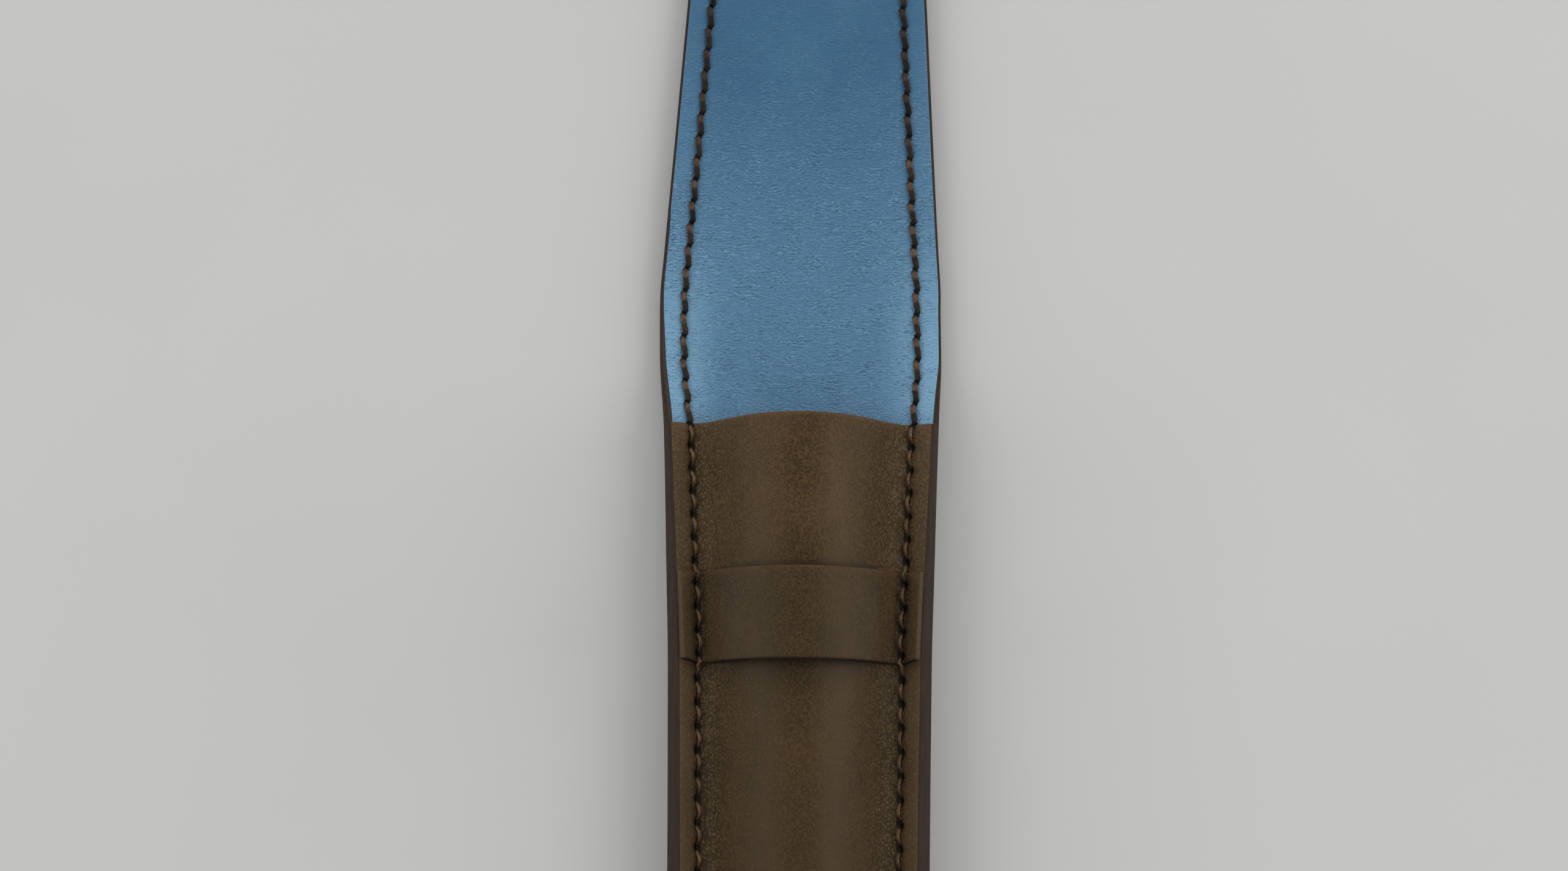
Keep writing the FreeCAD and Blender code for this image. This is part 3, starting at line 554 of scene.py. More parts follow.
def pocket_front(materials):
    """The panel that arches from seam to seam and closes down to the flat toe."""
    halves = [front_half(station) for station in range(MOUTH_STATION + 1)]
    full = lengths(halves[FULL_STATION])[-1]
    columns = arch_columns(ROUND_ROWS, 0.0, full)
    places = np.stack([placed(half, columns, full) for half in halves])
    rows = end_rows(TOE, 1)[:-1] + between(POCKET_HOLES, HOLE_ROWS)
    rows = [y for y in rows if y < MOUTH - CUT_CLEAR] + [MOUTH - d for d in reversed(CUT_ROWS)]
    rows = np.array(rows)
    shrink = outline(rows) / width(rows)
    points = []
    for column in range(len(columns)):
        x, z = (
            monotone(STATION_Y[:len(halves)], np.tile(places[:, column, k], (len(rows), 1)), rows)
            for k in (0, 1))
        points.append(np.stack([x * shrink, rows, z], -1))
    lower, c, y, s = mirrored(np.stack(points[::-1], 1), columns, HALF)
    beside = c < SEAM_REACH
    d = np.where(beside, edge_distance(y, np.where(beside, s * shrink[:, None], 0)), SEAM_REACH)
    d = np.minimum(d, y - TOE)
    groove, slit, pull = (np.where(beside, v, 0) for v in seam_fields(y, s, *DIMPLE))
    cut = MOUTH - y
    bow = -LIP_BOW * smoothstep(*LIP_BOW_SPAN, c) * smoothstep(MOUTH - LIP_BOW_LONG, MOUTH, y)
    wave = ARCH_UNEVEN * undulation(y, s * ARCH_CROSSWISE) * np.clip(d / ARCH_CALM, 0, 1)
    over = FRONT_THICK - rounding(d, EDGE_ROUND) - rounding(cut, CUT_ROUND) + wave
    over = over - sunk(FRONT_DEPTHS, (groove, slit, pull))
    under = rounding(cut, CUT_ROUND) * LIP_UNDER + wave
    # Painted highlight along the lip and painted shadow below the band.
    lip = np.exp(-cut / LIP_HIGHLIGHT_FADE)
    shade = BAND_SHADE * np.exp(-np.maximum(BAND_LOW - y, 0) / BAND_SHADE_FADE)
    shade = shade * smoothstep(*BAND_SHADE_SPAN, c) * (y < BAND_HIGH)
    margin = MARGIN_GRAIN + MARGIN_GRAIN_MORE * smoothstep(BAND_LOW, BAND_HIGH, y)
    margin = margin * smoothstep(*MARGIN_GRAIN_SPAN, c)
    grained = np.maximum(np.exp(-((c - GRAIN_AT) / GRAIN_WIDE)**2), margin)
    zero = np.zeros_like(d)
    fields = {
        "hole": (slit, zero), "seam": (groove, zero), "crease": (grained, zero),
        "shade": (shade, zero), "rim": (d, d), "lip": (lip, lip),
    }
    paint = face_mean(d) < FRONT_PAINT
    return arched_sheet("pocket_front", lower, bow, over, under, fields, paint, materials)


# Band

# Its two long edges bow downwards, the upper one more, and its lower corners
# turn up; then come marks as on the front: painted highlight along the upper edge, painted shadow along
# the lower one, the whole band a little darker, and grain.
BAND_BOW, BAND_BOW_MORE, BAND_BOW_SPAN = 0.3, 0.22, (6.0, 20.0)
BAND_CORNER, BAND_CORNER_SPAN = 0.5, (3.0, 0.0)
BAND_WAVE_AT, BAND_UNDER = 3.0, 0.5
BAND_LIP_HIGHLIGHT_FADE, BAND_FOOT_FADE, BAND_DIM = 0.2, 0.3, 0.24
BAND_GRAIN, BAND_GRAIN_AT, BAND_GRAIN_WIDE = 0.75, 3.4, 3.4
BAND_RIM_SHIFT = 1.0


def cross_band(materials):
    """The strip that spans the front, with room under it for the tongue."""
    room = ROOM + FRONT_THICK + TUNNEL
    halves = [
        softened(arch_half(station, FRONT_TOP, BAND_END, BAND_BEND, room, BAND_SHARE), BAND_SOFT)
        for station in BAND_STATIONS]
    full = lengths(halves[0])[-1]
    columns = arch_columns(CUT_ROWS, HALF - BAND_END, full)
    low, high = (placed(half, columns, full) for half in halves)
    low_end, high_end = BAND_LOW + CUT_CLEAR, BAND_HIGH - CUT_CLEAR
    rows = [y for y in between(POCKET_HOLES, HOLE_ROWS) if low_end < y < high_end]
    rows = [BAND_LOW + d for d in CUT_ROWS] + rows + [BAND_HIGH - d for d in reversed(CUT_ROWS)]
    rows = np.array(rows)
    t = ((rows - BAND_LOW) / (BAND_HIGH - BAND_LOW))[:, None, None]
    half = low * (1 - t) + high * t
    right = np.stack([half[..., 0], np.repeat(rows[:, None], len(columns), 1), half[..., 1]], -1)
    lower, c, y, s = mirrored(right[:, ::-1], columns, BAND_END)
    d = np.minimum(np.minimum(c, y - BAND_LOW), BAND_HIGH - y)
    groove, slit, pull = (np.where(c < SEAM_REACH, v, 0) for v in seam_fields(y, s, *DIMPLE))
    wave = undulation(y, s * ARCH_CROSSWISE + BAND_WAVE_AT) * np.clip(d / ARCH_CALM, 0, 1)
    over = BAND_THICK - rounding(d, CUT_ROUND) + wave - sunk(FRONT_DEPTHS, (groove, slit, pull))
    under = BAND_UNDER * rounding(d, CUT_ROUND) + wave
    up = (y - BAND_LOW) / (BAND_HIGH - BAND_LOW)
    bow = -(BAND_BOW + BAND_BOW_MORE * up) * smoothstep(*BAND_BOW_SPAN, c)
    bow = bow + BAND_CORNER * (1 - up)**2 * smoothstep(*BAND_CORNER_SPAN, c)
    zero = np.zeros_like(d)
    # Painted highlight along the upper cut edge, painted shadow along the lower one, and the whole band a
    # little darker.
    lip = np.exp(-(BAND_HIGH - y) / BAND_LIP_HIGHLIGHT_FADE)
    shade = np.maximum(np.exp(-(y - BAND_LOW) / BAND_FOOT_FADE), BAND_DIM)
    grained = BAND_GRAIN * np.exp(-((c - BAND_GRAIN_AT) / BAND_GRAIN_WIDE)**2)
    rim = c + BAND_RIM_SHIFT
    fields = {
        "hole": (slit, zero), "seam": (groove, zero), "crease": (grained, zero),
        "shade": (shade, shade), "rim": (rim, rim), "lip": (lip, lip),
    }
    paint = np.zeros_like(face_mean(d), bool)
    return arched_sheet("cross_band", lower, bow, over, under, fields, paint, materials)


# Thread

# Half width and height of a strand, length of a turn of its plies and how far
# they stand out, its thickness at the holes, over which share of its length,
# and its arch between them.
STRAND_WIDE, STRAND_HIGH, TWIST, PLY = 0.40, 0.25, 3.1, 0.07
HOLE_THIN, HOLE_SHARE, STRAND_ARCH = 0.86, 0.06, 0.05
SIDES, RINGS = 12, 17

# How a strand lies: its slant across the seam, its thickness, the reach and
# depth of its dive into a hole and its height on the leather; then the shares
# of its length where its painted light starts, fades to dim and ends, and how
# strong its painted light and painted highlight are. Towards the mouth of the pocket the painted light
# gets stronger still.
Strand = namedtuple("Strand", "slant thick reach depth rest fade dim end light worn")
LYING = Strand(slant=0.29, thick=1.0, reach=0.30, depth=0.85, rest=0.22,
               fade=(0.52, 0.38), dim=0.1, end=(1.0, 0.84), light=0.22, worn=0.0)
PULLED = Strand(slant=0.16, thick=0.7, reach=0.92, depth=1.20, rest=0.18,
                fade=(0.74, 0.42), dim=0.4, end=(0.94, 0.78), light=0.32, worn=1.0)
LIGHT_START = (0.1, 0.18)
MOUTH_LIGHT, MOUTH_LIGHT_SPAN = 0.48, (72.0, 34.0)
SHADE_RANGE, HIGHLIGHT_RANGE = (0.84, 0.98), (0.7, 1.0)


def seam_top(y):
    """Offset of the face that the thread lies on."""
    front = smoothstep(MOUTH + STEP_BLUR, MOUTH - STEP_BLUR, y)
    return LINING_TOP + FRONT_THICK * front + BAND_THICK * on_band(y)


def unit(vectors):
    return vectors / np.linalg.norm(vectors, axis=1, keepdims=True)


def stitch(first, second, above, phase, kind):
    """The flattened strand of one stitch between two holes given as y and s."""
    t = np.linspace(0, 1, RINGS)
    first, second = np.array(first), np.array(second)
    along = second - first
    length = np.linalg.norm(along)
    lateral = np.array([along[1], -along[0]]) / length
    face = 1 if above else -1
    y, s = (first + along * t[:, None] + lateral * (face * kind.slant * (2 * t - 1))[:, None]).T
    dive = np.exp(-(t * length / kind.reach)**2) + np.exp(-((1 - t) * length / kind.reach)**2)
    height = kind.rest + STRAND_ARCH * np.sin(math.pi * t) - kind.depth * dive
    e = seam_top(y) + height if above else -height
    path = back(y, s, e)
    outward = unit(back(y, s, e + face / 2) - path)
    ahead = unit(np.gradient(path, axis=0))
    sideways = unit(np.cross(ahead, outward))
    up = np.cross(sideways, ahead)
    full = np.sin(math.pi * np.clip(t, HOLE_SHARE, 1 - HOLE_SHARE))**0.5
    taper = kind.thick * (HOLE_THIN + (1 - HOLE_THIN) * full)[:, None, None]
    around = np.linspace(0, 2 * math.pi, SIDES, endpoint=False)
    turn = phase + 2 * math.pi * t * length / TWIST
    ply = (1 + PLY * np.cos(2 * (around - turn[:, None])))[..., None]
    ring = path[:, None] + taper * ply * (
        STRAND_WIDE * np.cos(around)[None, :, None] * sideways[:, None]
        + STRAND_HIGH * np.sin(around)[None, :, None] * up[:, None])
    index = np.arange(RINGS * SIDES).reshape(RINGS, SIDES)
    beside = np.roll(index, -1, axis=1)
    quads = np.stack([index[:-1], beside[:-1], beside[1:], index[1:]], -1).reshape(-1, 4)
    faces = quads.tolist() + [index[0][::-1].tolist(), index[-1].tolist()]
    # Painted light along the strand, and painted shade where it dives and where it is dim.
    lit = smoothstep(*LIGHT_START, t) * (kind.dim + (1 - kind.dim) * smoothstep(*kind.fade, t))
    lit = lit * smoothstep(*kind.end, t)
    lit = lit * (kind.light + MOUTH_LIGHT * smoothstep(*MOUTH_LIGHT_SPAN, y))
    return ring.reshape(-1, 3), faces, np.repeat(1 - lit, SIDES), np.repeat(lit * kind.worn, SIDES)


def thread(name, runs, material):
    """All stitches of the runs of holes, on the upper and the outer face."""
    verts, faces, shades, worn, start = [], [], [], [], 0
    for holes in runs:
        for first, second in zip(holes, holes[1:]):
            middle = (first[0] + second[0]) / 2
            for above in (True, False):
                kind = PULLED if above and middle < MOUTH else LYING
                phase = rng.uniform(0, 2 * math.pi)
                v, f, shade, highlit = stitch(first, second, above, phase, kind)
                shades.append(shade * rng.uniform(*SHADE_RANGE))
                worn.append(highlit * rng.uniform(*HIGHLIGHT_RANGE))
                if np.cross(v[1] - v[0], v[SIDES] - v[0]) @ (v[0] - v[:SIDES].mean(0)) < 0:
                    f = [face[::-1] for face in f]
                verts.append(v)
                faces += [[k + start for k in face] for face in f]
                start += len(v)
    fields = {"shade": np.concatenate(shades), "worn": np.concatenate(worn)}
    return build(name, np.concatenate(verts), faces, np.zeros(len(faces)), fields, [material])


# Materials

def colour(r, g, b):
    """Shader colour from display values of 0 to 255."""
    return tuple(((v / 255 + 0.055) / 1.055)**2.4 for v in (r, g, b)) + (1.0,)


LEATHER_DARK, LEATHER_LIGHT = colour(44, 33, 18), colour(78, 61, 39)
LEATHER_TOE, LEATHER_RIM_LIGHT, LEATHER_LIP_HIGHLIGHT = colour(50, 37, 22), colour(104, 86, 64), colour(104, 74, 54)
LEATHER_RAISED_HIGHLIGHT, LEATHER_SUNK_SHADE = colour(100, 84, 64), colour(40, 30, 19)
LEATHER_SEAM, LEATHER_SHADE, LEATHER_HOLE_SHADE = colour(44, 33, 23), colour(22, 16, 11), colour(14, 11, 7)
LEATHER_GLOSS = (1.0, 0.84, 0.62, 1.0)
PAINT_DARK, PAINT_LIGHT = colour(46, 37, 31), colour(57, 47, 40)
LINING_DARK, LINING_LIGHT, LINING_SHEEN = colour(50, 91, 122), colour(58, 99, 129), colour(116, 158, 186)
LINING_RIDGE_HIGHLIGHT, LINING_FURROW_SHADE = colour(116, 156, 182), colour(28, 60, 88)
LINING_RIM, LINING_SEAM, LINING_HOLE_SHADE = colour(50, 41, 35), colour(40, 66, 88), colour(16, 16, 18)
THREAD_DARK, THREAD_LIGHT = colour(56, 43, 33), colour(132, 103, 82)
THREAD_HIGHLIGHT, THREAD_SHADE = colour(124, 97, 73), colour(15, 12, 9)
FLOOR_DARK, FLOOR_LIGHT = colour(188, 188, 187), colour(193, 193, 192)


class Shader:
    """A Principled material and short ways to add its nodes, in millimetres of the object."""

    def __init__(self, name, specular=0.5, roughness=0.5):
        self.material = bpy.data.materials.new(name)
        self.material.use_nodes = True
        self.tree = self.material.node_tree
        self.bsdf = self.tree.nodes["Principled BSDF"]
        self.bsdf.inputs["Specular IOR Level"].default_value = specular
        self.bsdf.inputs["Roughness"].default_value = roughness
        self.place = self.node("TexCoord").outputs["Object"]

    def node(self, kind, inputs=(), **settings):
        """A new node with settings, and inputs that are sockets or constants."""
        node = self.tree.nodes.new("ShaderNode" + kind)
        for key, value in settings.items():
            setattr(node, key, value)
        for socket, source in dict(inputs).items():
            if hasattr(source, "is_output"):
                self.tree.links.new(source, node.inputs[socket])
            else:
                node.inputs[socket].default_value = source
        return node

    def scaled(self, x, y, z):
        """Coordinates with these numbers of steps per millimetre."""
        inputs = {"Vector": self.place, "Scale": (x / MM, y / MM, z / MM)}
        return self.node("Mapping", inputs).outputs[0]

    def noise(self, vector, detail=3.0, distortion=0.0, roughness=0.5, output="Fac"):
        inputs = {"Vector": vector, "Scale": 1.0, "Detail": detail,
                  "Roughness": roughness, "Distortion": distortion}
        return self.node("TexNoise", inputs).outputs[output]

    def cells(self, vector, feature="F1"):
        inputs = {"Vector": vector, "Scale": 1.0}
        return self.node("TexVoronoi", inputs, feature=feature).outputs["Distance"]

    def waves(self, vector, distortion, detail_scale):
        inputs = {"Vector": vector, "Scale": 1.0, "Distortion": distortion, "Detail": 2.0,
                  "Detail Scale": detail_scale, "Detail Roughness": 0.55}
        node = self.node("TexWave", inputs, wave_type="BANDS", bands_direction="Y")
        return node.outputs["Fac"]

    def ramp(self, value, low, high, to_low=0.0, to_high=1.0):
        """Smooth step of a value from low to high."""
        inputs = {"Value": value, "From Min": low, "From Max": high, "To Min": to_low, "To Max": to_high}
        return self.node("MapRange", inputs, interpolation_type="SMOOTHSTEP").outputs["Result"]

    def combine(self, operation, a, b):
        return self.node("Math", {0: a, 1: b}, operation=operation).outputs[0]

    def plus(self, a, b):
        return self.combine("ADD", a, b)

    def times(self, a, b):
        return self.combine("MULTIPLY", a, b)

    def weighted(self, *terms):
        """Sum of values times weights."""
        products = [self.times(value, weight) for value, weight in terms]
        total = products[0]
        for product in products[1:]:
            total = self.plus(total, product)
        return total

    def field(self, name):
        return self.node("Attribute", attribute_name=name).outputs["Fac"]

    def mix(self, factor, a, b):
        """Colour between a and b, by the colour sockets of a Mix node."""
        inputs = {0: factor, 6: a, 7: b}
        return self.node("Mix", inputs, data_type="RGBA", blend_type="MIX").outputs[2]

    def bump(self, height, distance, strength):
        inputs = {"Height": height, "Distance": distance * MM, "Strength": strength}
        return self.node("Bump", inputs).outputs["Normal"]

    def set(self, socket, source):
        self.tree.links.new(source, self.bsdf.inputs[socket])


def brown_leather():
    """Pebbled leather; its fields mark grain (crease), seams (seam), painted light on the margins and top
    cut edges (rim, lip) and painted shade (shade, hole).
    """
    look = Shader("brown_leather", specular=0.2)
    look.bsdf.inputs["Specular Tint"].default_value = LEATHER_GLOSS
    pebble = look.ramp(look.cells(look.scaled(3.2, 3.0, 3.2), "SMOOTH_F1"), 0.15, 0.75)
    fine = look.noise(look.scaled(5.5, 5.0, 5.5), detail=4, roughness=0.6)
    grain = look.weighted((pebble, 0.6), (fine, 0.5))
    cloud = look.noise(look.scaled(0.13, 0.09, 0.13))
    tone = look.weighted((cloud, 0.5), (grain, 0.5))
    base = look.mix(look.ramp(tone, 0.24, 0.75), LEATHER_DARK, LEATHER_LIGHT)
    along = look.node("SeparateXYZ", {0: look.place}).outputs["Y"]
    base = look.mix(look.ramp(along, -60 * MM, 10 * MM, 0.55, 0.0), base, LEATHER_TOE)

    # Small scales of leather that was bent or pulled, with a painted highlight on their tops and painted
    # shade between them.
    bend = look.noise(look.scaled(0.9, 0.9, 0.9), detail=1, output="Color")
    bent = look.node("VectorMath", {0: look.scaled(2.6, 2.1, 2.6), 1: bend}, operation="ADD")
    scale = look.cells(bent.outputs[0])
    marked = look.plus(look.field("crease"), 0.12)
    base = look.mix(look.times(look.ramp(scale, 0.5, 0.1), look.times(marked, 0.58)), base, LEATHER_RAISED_HIGHLIGHT)
    base = look.mix(look.times(look.ramp(scale, 0.42, 0.7), look.times(marked, 0.5)), base, LEATHER_SUNK_SHADE)

    # Painted light on the margins near the cut edge.
    base = look.mix(look.ramp(look.field("rim"), 2.2, 3.3, 0.3, 0.0), base, LEATHER_RIM_LIGHT)
    # Painted highlight along the top cut edges.
    base = look.mix(look.times(look.field("lip"), 0.75), base, LEATHER_LIP_HIGHLIGHT)
    base = look.mix(look.times(look.field("seam"), 0.12), base, LEATHER_SEAM)
    base = look.mix(look.field("shade"), base, LEATHER_SHADE)
    # Painted shade in the stitch holes.
    base = look.mix(look.ramp(look.field("hole"), 0.14, 0.44), base, LEATHER_HOLE_SHADE)
    look.set("Base Color", base)

    patch = look.noise(look.scaled(0.7, 0.7, 0.7), detail=2)
    look.set("Roughness", look.ramp(look.weighted((grain, 0.7), (patch, 0.3)), 0.2, 0.8, 0.44, 0.6))
    creases = look.noise(look.scaled(0.75, 2.4, 0.75), distortion=1.1, roughness=0.55)
    crease = look.times(look.ramp(creases, 0.35, 0.62), look.field("crease"))
    height = look.plus(grain, look.times(crease, 0.8))
    height = look.combine("SUBTRACT", height, look.times(scale, marked))
    look.set("Normal", look.bump(height, 0.045, 0.8))
    return look.material


def edge_paint():
    """Dull paint of the cut edges, streaked along them."""
    look = Shader("edge_paint", specular=0.05)
    streak = look.noise(look.scaled(2.0, 0.18, 2.0))
    fine = look.noise(look.scaled(3.0, 1.2, 3.0))
    tone = look.weighted((streak, 0.6), (fine, 0.4))
    look.set("Base Color", look.mix(look.ramp(tone, 0.3, 0.7), PAINT_DARK, PAINT_LIGHT))
    look.set("Roughness", look.ramp(fine, 0.3, 0.7, 0.5, 0.64))
    look.set("Normal", look.bump(tone, 0.06, 0.6))
    return look.material


def blue_lining():
    """Thin leather with fine folds, painted highlight and shade on them and a painted sheen; its fields
    are crease, sheen, rim, strip, seam and hole.
    """
    look = Shader("blue_lining", specular=0.25)
    fold = look.waves(look.scaled(0.42, 0.66, 0.66), 10.0, 2.1)
    fibre = look.noise(look.scaled(1.7, 6.2, 6.2), detail=2, distortion=0.6, roughness=0.6)
    fibre = look.ramp(fibre, 0.25, 0.75)
    micro = look.ramp(look.noise(look.scaled(4.6, 7.5, 7.5), detail=2), 0.25, 0.75)
    relief = look.weighted((fold, 0.45), (micro, 0.2), (fibre, 0.35))
    patch = look.ramp(look.noise(look.scaled(0.3, 0.45, 0.45), detail=2), 0.35, 0.65, 0.45, 1.0)
    strength = look.times(look.plus(look.times(look.field("crease"), 0.85), 0.34), patch)

    cloud = look.noise(look.scaled(0.1, 0.07, 0.1))
    base = look.mix(look.ramp(cloud, 0.25, 0.75), LINING_DARK, LINING_LIGHT)
    # Painted sheen, stronger towards the mouth and at the sides.
    base = look.mix(look.field("sheen"), base, LINING_SHEEN)
    # Painted highlight on the ridges of the folds and painted shade in their furrows.
    ridge = look.times(look.ramp(relief, 0.5, 0.9), look.times(strength, 0.5))
    base = look.mix(ridge, base, LINING_RIDGE_HIGHLIGHT)
    furrow = look.times(look.ramp(relief, 0.5, 0.1), look.times(strength, 0.5))
    base = look.mix(furrow, base, LINING_FURROW_SHADE)
    past_strip = look.combine("SUBTRACT", look.field("rim"), look.field("strip"))
    base = look.mix(look.ramp(past_strip, -0.05, 0.05, 1.0, 0.0), base, LINING_RIM)
    base = look.mix(look.times(look.field("seam"), 0.2), base, LINING_SEAM)
    # Painted shade in the stitch holes.
    base = look.mix(look.ramp(look.field("hole"), 0.25, 0.7), base, LINING_HOLE_SHADE)
    look.set("Base Color", base)

    look.set("Roughness", look.ramp(micro, 0.0, 1.0, 0.36, 0.5))
    pores = look.cells(look.scaled(5.0, 5.0, 5.0))
    height = look.plus(look.times(relief, strength), look.times(pores, 0.2))
    look.set("Normal", look.bump(height, 0.08, 0.8))
    return look.material


def sewing_thread():
    """Waxed thread, with painted shade where it dives and painted light and highlight where it rises."""
    look = Shader("waxed_thread", specular=0.08)
    fibre = look.noise(look.scaled(7.0, 1.6, 7.0), distortion=0.6)
    cloud = look.noise(look.scaled(0.4, 0.4, 0.4), detail=2)
    tone = look.weighted((fibre, 0.7), (cloud, 0.3))
    base = look.mix(look.ramp(tone, 0.3, 0.7), THREAD_DARK, THREAD_LIGHT)
    base = look.mix(look.times(look.field("worn"), 0.4), base, THREAD_HIGHLIGHT)
    look.set("Base Color", look.mix(look.field("shade"), base, THREAD_SHADE))
    look.set("Roughness", look.ramp(fibre, 0.2, 0.8, 0.45, 0.65))
    look.set("Normal", look.bump(fibre, 0.05, 0.7))
    return look.material


def floor_look():
    """Matt grey table top."""
    look = Shader("floor", roughness=0.85)
    speck = look.noise(look.scaled(0.02, 0.02, 0.02), detail=2)
    look.set("Base Color", look.mix(speck, FLOOR_DARK, FLOOR_LIGHT))
    return look.material


LEATHER, PAINT, LINING, THREAD = brown_leather(), edge_paint(), blue_lining(), sewing_thread()


# Pieces

# Least distances and steps of rows, under the front and at the folds.
ROW_CLEAR, MOUTH_GAP = 0.05, 0.02
HIDDEN_START, HIDDEN_STEP, HIDDEN_CLEAR = -105.0, 2.0, 0.5
FOLD_REACH, FOLD_STEP, FOLD_CLEAR = 4.0, 0.55, 0.2

# Marks of the lining, with spans along y or, for the sides, of the distance
# from the middle: creases, width of the rim of edge paint on both sides, painted sheen.
CREASE_SPAN, CREASE_SIDES, CREASE_MORE = (76.0, 40.0), (12.0, 18.0), 0.35
LEFT_RIM, LEFT_RIM_STEPS = 0.3, ((0.2, (47.0, 42.0)), (0.4, (34.0, 18.0)))
RIGHT_RIM, RIGHT_RIM_STEPS = 0.24, ((0.26, (25.0, 17.0)),)
SHEEN, SHEEN_SPAN = 0.3, (72.0, 26.0)
SHEEN_SIDES, SIDE_SHEEN, SIDE_SHEEN_SPAN = (11.0, 18.5), 0.55, (46.0, 24.0)
FLAP_SHEEN, FLAP_SHEEN_SPAN = 0.1, (95.0, 60.0)


def exposed(y):
    """1 where the lining's edge isn't under the pocket front, else 0."""
    return (np.asarray(y) > MOUTH).astype(float)


def nowhere(y):
    return np.zeros_like(np.asarray(y, float))


def extended(rows, after):
    """The rows and those of the others that lie past them."""
    return rows + [y for y in after if y > rows[-1] + ROW_CLEAR]


def finer_folds(rows):
    """The rows with closer ones where the leather folds."""
    closer = np.arange(CROWN_AXIS - FOLD_REACH, TONGUE_AXIS + FOLD_REACH, FOLD_STEP)
    extra = [y for y in closer if np.abs(np.array(rows) - y).min() > FOLD_CLEAR]
    return sorted(list(rows) + [y for y in extra if rows[0] < y < rows[-1]])


def outer_layer(name, rows):
    """Brown outer leather, rounded and marked by the seams on its outer face."""
    return back_sheet(name, finer_folds(rows), 0.0, OUTER_TOP, 1, nowhere, -1, [LEATHER, PAINT])


def lining_layer(name, rows):
    """Blue lining, rounded and marked by the seams on its upper face."""
    return back_sheet(name, finer_folds(rows), OUTER_TOP, LINING_TOP, 0, exposed, 1, [LINING, PAINT])


def mark_lining(mesh):
    """Fields of the lining: how creased it is, how strong its painted sheen is and how wide its rim of
    edge paint is.
    """
    place = np.zeros(len(mesh.vertices) * 3, np.float32)
    mesh.vertices.foreach_get("co", place)
    x, y = (place.reshape(-1, 3)[:, :2] / MM).T
    left = LEFT_RIM + sum(step * smoothstep(*span, y) for step, span in LEFT_RIM_STEPS)
    right = RIGHT_RIM + sum(step * smoothstep(*span, y) for step, span in RIGHT_RIM_STEPS)
    side = smoothstep(*SHEEN_SIDES, np.abs(x))
    # Painted sheen, stronger towards the mouth and at the sides.
    sheen = smoothstep(*SHEEN_SPAN, y) * (SHEEN + SIDE_SHEEN * side * smoothstep(*SIDE_SHEEN_SPAN, y))
    crease = smoothstep(*CREASE_SPAN, y) * (1 + CREASE_MORE * smoothstep(*CREASE_SIDES, np.abs(x)))
    add_field(mesh, "crease", crease)
    add_field(mesh, "strip", np.where(x < 0, left, right))
    add_field(mesh, "sheen", sheen + FLAP_SHEEN * side * smoothstep(*FLAP_SHEEN_SPAN, y))


def side_run(holes, side):
    """Holes of one side from the tip towards the toe, as y and s."""
    return [(y, side * float(stitch_line(y))) for y in reversed(holes)]


toe_rows, tip_rows = end_rows(TOE, 1), end_rows(TIP, -1)[::-1]
outer_pocket = extended(toe_rows, between(POCKET_HOLES, OUTER_HOLE_ROWS))
outer_rows = extended(outer_pocket, between(NECK_HOLES, OUTER_HOLE_ROWS))
outer_flap_rows = extended(between(FLAP_HOLES, OUTER_HOLE_ROWS), tip_rows)
hidden_rows = toe_rows + list(np.arange(HIDDEN_START, MOUTH - HIDDEN_CLEAR, HIDDEN_STEP))
mouth_rows = [MOUTH - MOUTH_GAP, MOUTH + MOUTH_GAP]
lining_rows = extended(hidden_rows + mouth_rows, between(NECK_HOLES, HOLE_ROWS))
lining_flap_rows = extended(between(FLAP_HOLES, HOLE_ROWS), tip_rows)

outer_sleeve = outer_layer("outer_sleeve", outer_rows)
outer_flap = outer_layer("outer_flap", outer_flap_rows)
lining_sleeve = lining_layer("lining_sleeve", lining_rows)
lining_flap = lining_layer("lining_flap", lining_flap_rows)
for piece in (lining_sleeve, lining_flap):
    mark_lining(piece.data)
front = pocket_front([LEATHER, PAINT])
band = cross_band([LEATHER, LEATHER])

stitches = {}
for label, side in (("left", -1), ("right", 1)):
    sleeve_runs = [side_run(POCKET_HOLES, side), side_run(NECK_HOLES, side)]
    stitches[label, "sleeve"] = thread(f"stitches_{label}_sleeve", sleeve_runs, THREAD)
    stitches[label, "flap"] = thread(f"stitches_{label}_flap", [side_run(FLAP_HOLES, side)], THREAD)
toe_stitches = thread("stitches_toe", [TOE_HOLES], THREAD)
tip_stitches = thread("stitches_tip", [TIP_HOLES], THREAD)

# The sleeve's and the flap's layers and side seams keep their world places; the front, the band and the
# toe's stitches ride on the sleeve, the tip's stitches on the tongue.
for piece in (outer_sleeve, lining_sleeve, stitches["left", "sleeve"], stitches["right", "sleeve"]):
    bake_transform(piece)
for piece in (outer_flap, lining_flap, stitches["left", "flap"], stitches["right", "flap"]):
    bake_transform(piece)
for piece in (front, band, toe_stitches):
    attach(piece, "sleeve")
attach(tip_stitches, "tongue")

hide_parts("back_panel")
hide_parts("crown_panel", "tongue_panel")
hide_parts("back_lining")
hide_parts("crown_lining", "tongue_lining")
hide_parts("front_pocket")
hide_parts("keeper_band")
for label in ("left", "right"):
    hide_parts(f"{label}_seam_thread")
    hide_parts(f"crown_{label}_thread", f"tongue_{label}_thread")
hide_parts("toe_seam_thread")
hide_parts("tongue_tip_thread")


# Stage and light, in metres and watts

scene = bpy.context.scene
scene.view_settings.view_transform = "Standard"

HALF_FLOOR, FLOOR_Z = 2.0, -0.0001
CORNERS = ((-1, -1), (1, -1), (1, 1), (-1, 1))
floor_corners = [(x * HALF_FLOOR, y * HALF_FLOOR, FLOOR_Z) for x, y in CORNERS]
floor_mesh = bpy.data.meshes.new("floor")
floor_mesh.from_pydata(floor_corners, [], [(0, 1, 2, 3)])
floor_mesh.materials.append(floor_look())
floor = bpy.data.objects.new("floor", floor_mesh)
scene.collection.objects.link(floor)

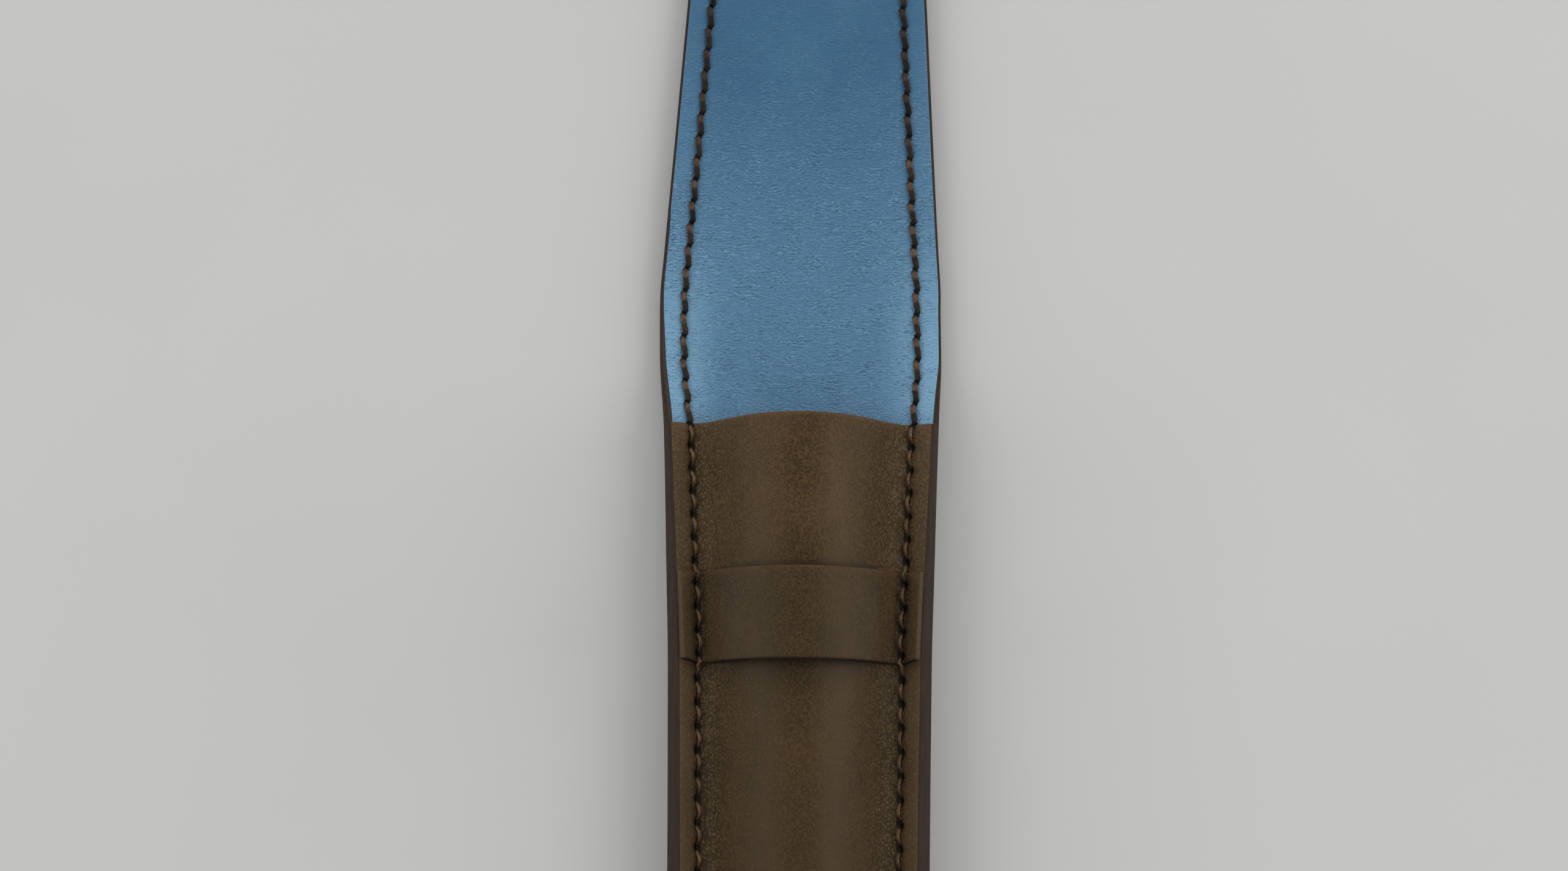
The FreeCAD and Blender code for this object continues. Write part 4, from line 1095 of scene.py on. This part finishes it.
# The sky's light is weaker straight above, by the height of the direction.
DOME = {"From Min": 0.8, "From Max": 0.96, "To Min": 0.8, "To Max": 0.14}
world = bpy.data.worlds.new("world")
world.use_nodes = True
nodes, links = world.node_tree.nodes, world.node_tree.links
sky = nodes["Background"]
sky.inputs["Color"].default_value = (1.0, 1.0, 1.0, 1.0)
towards = nodes.new("ShaderNodeTexCoord")
height = nodes.new("ShaderNodeSeparateXYZ")
dome = nodes.new("ShaderNodeMapRange")
dome.interpolation_type = "SMOOTHSTEP"
for socket, value in DOME.items():
    dome.inputs[socket].default_value = value
links.new(towards.outputs["Generated"], height.inputs[0])
links.new(height.outputs["Z"], dome.inputs["Value"])
links.new(dome.outputs["Result"], sky.inputs["Strength"])
scene.world = world

# Soft boxes that face the origin: name, place, two sides and power.
LAMPS = (
    ("left_box", (-0.84, 0.05, 0.54), (0.4, 1.0), 2.9),
    ("right_box", (0.84, 0.05, 0.54), (0.4, 1.0), 4.0),
    ("far_box", (0.0, 0.86, 0.8), (0.7, 0.4), 1.6),
)
for name, place, sides, power in LAMPS:
    lamp_data = bpy.data.lights.new(name, "AREA")
    lamp_data.shape = "RECTANGLE"
    lamp_data.size, lamp_data.size_y = sides
    lamp_data.energy = power
    lamp = bpy.data.objects.new(name, lamp_data)
    lamp.location = place
    lamp.rotation_euler = (-Vector(place)).to_track_quat("-Z", "Y").to_euler()
    scene.collection.objects.link(lamp)


# Camera

# The photograph's view: 2560 x 1422 pixels, almost straight down from the toe's side.
FOCAL_PIXELS, IMAGE_WIDTH, SENSOR = 4200, 2560, 36
TILT, ROLL = math.radians(9.8), math.radians(0.45)
AIM, RANGE = Vector((-2.52, 11.4, 0)) * MM, 382 * MM
NEAREST = 0.01
away = Vector((0, -math.sin(TILT), math.cos(TILT)))
upward = Vector((0, math.cos(TILT), math.sin(TILT)))
across = Vector((1, 0, 0))
right_axis = across * math.cos(ROLL) + upward * math.sin(ROLL)
up_axis = upward * math.cos(ROLL) - across * math.sin(ROLL)
turned = Matrix((right_axis, up_axis, away)).transposed().to_4x4()
camera_data = bpy.data.cameras.new("camera")
camera_data.sensor_width = SENSOR
camera_data.lens = SENSOR * FOCAL_PIXELS / IMAGE_WIDTH
camera_data.clip_start = NEAREST
camera = bpy.data.objects.new("camera", camera_data)
camera.matrix_world = Matrix.Translation(AIM + away * RANGE) @ turned
scene.collection.objects.link(camera)
scene.camera = camera
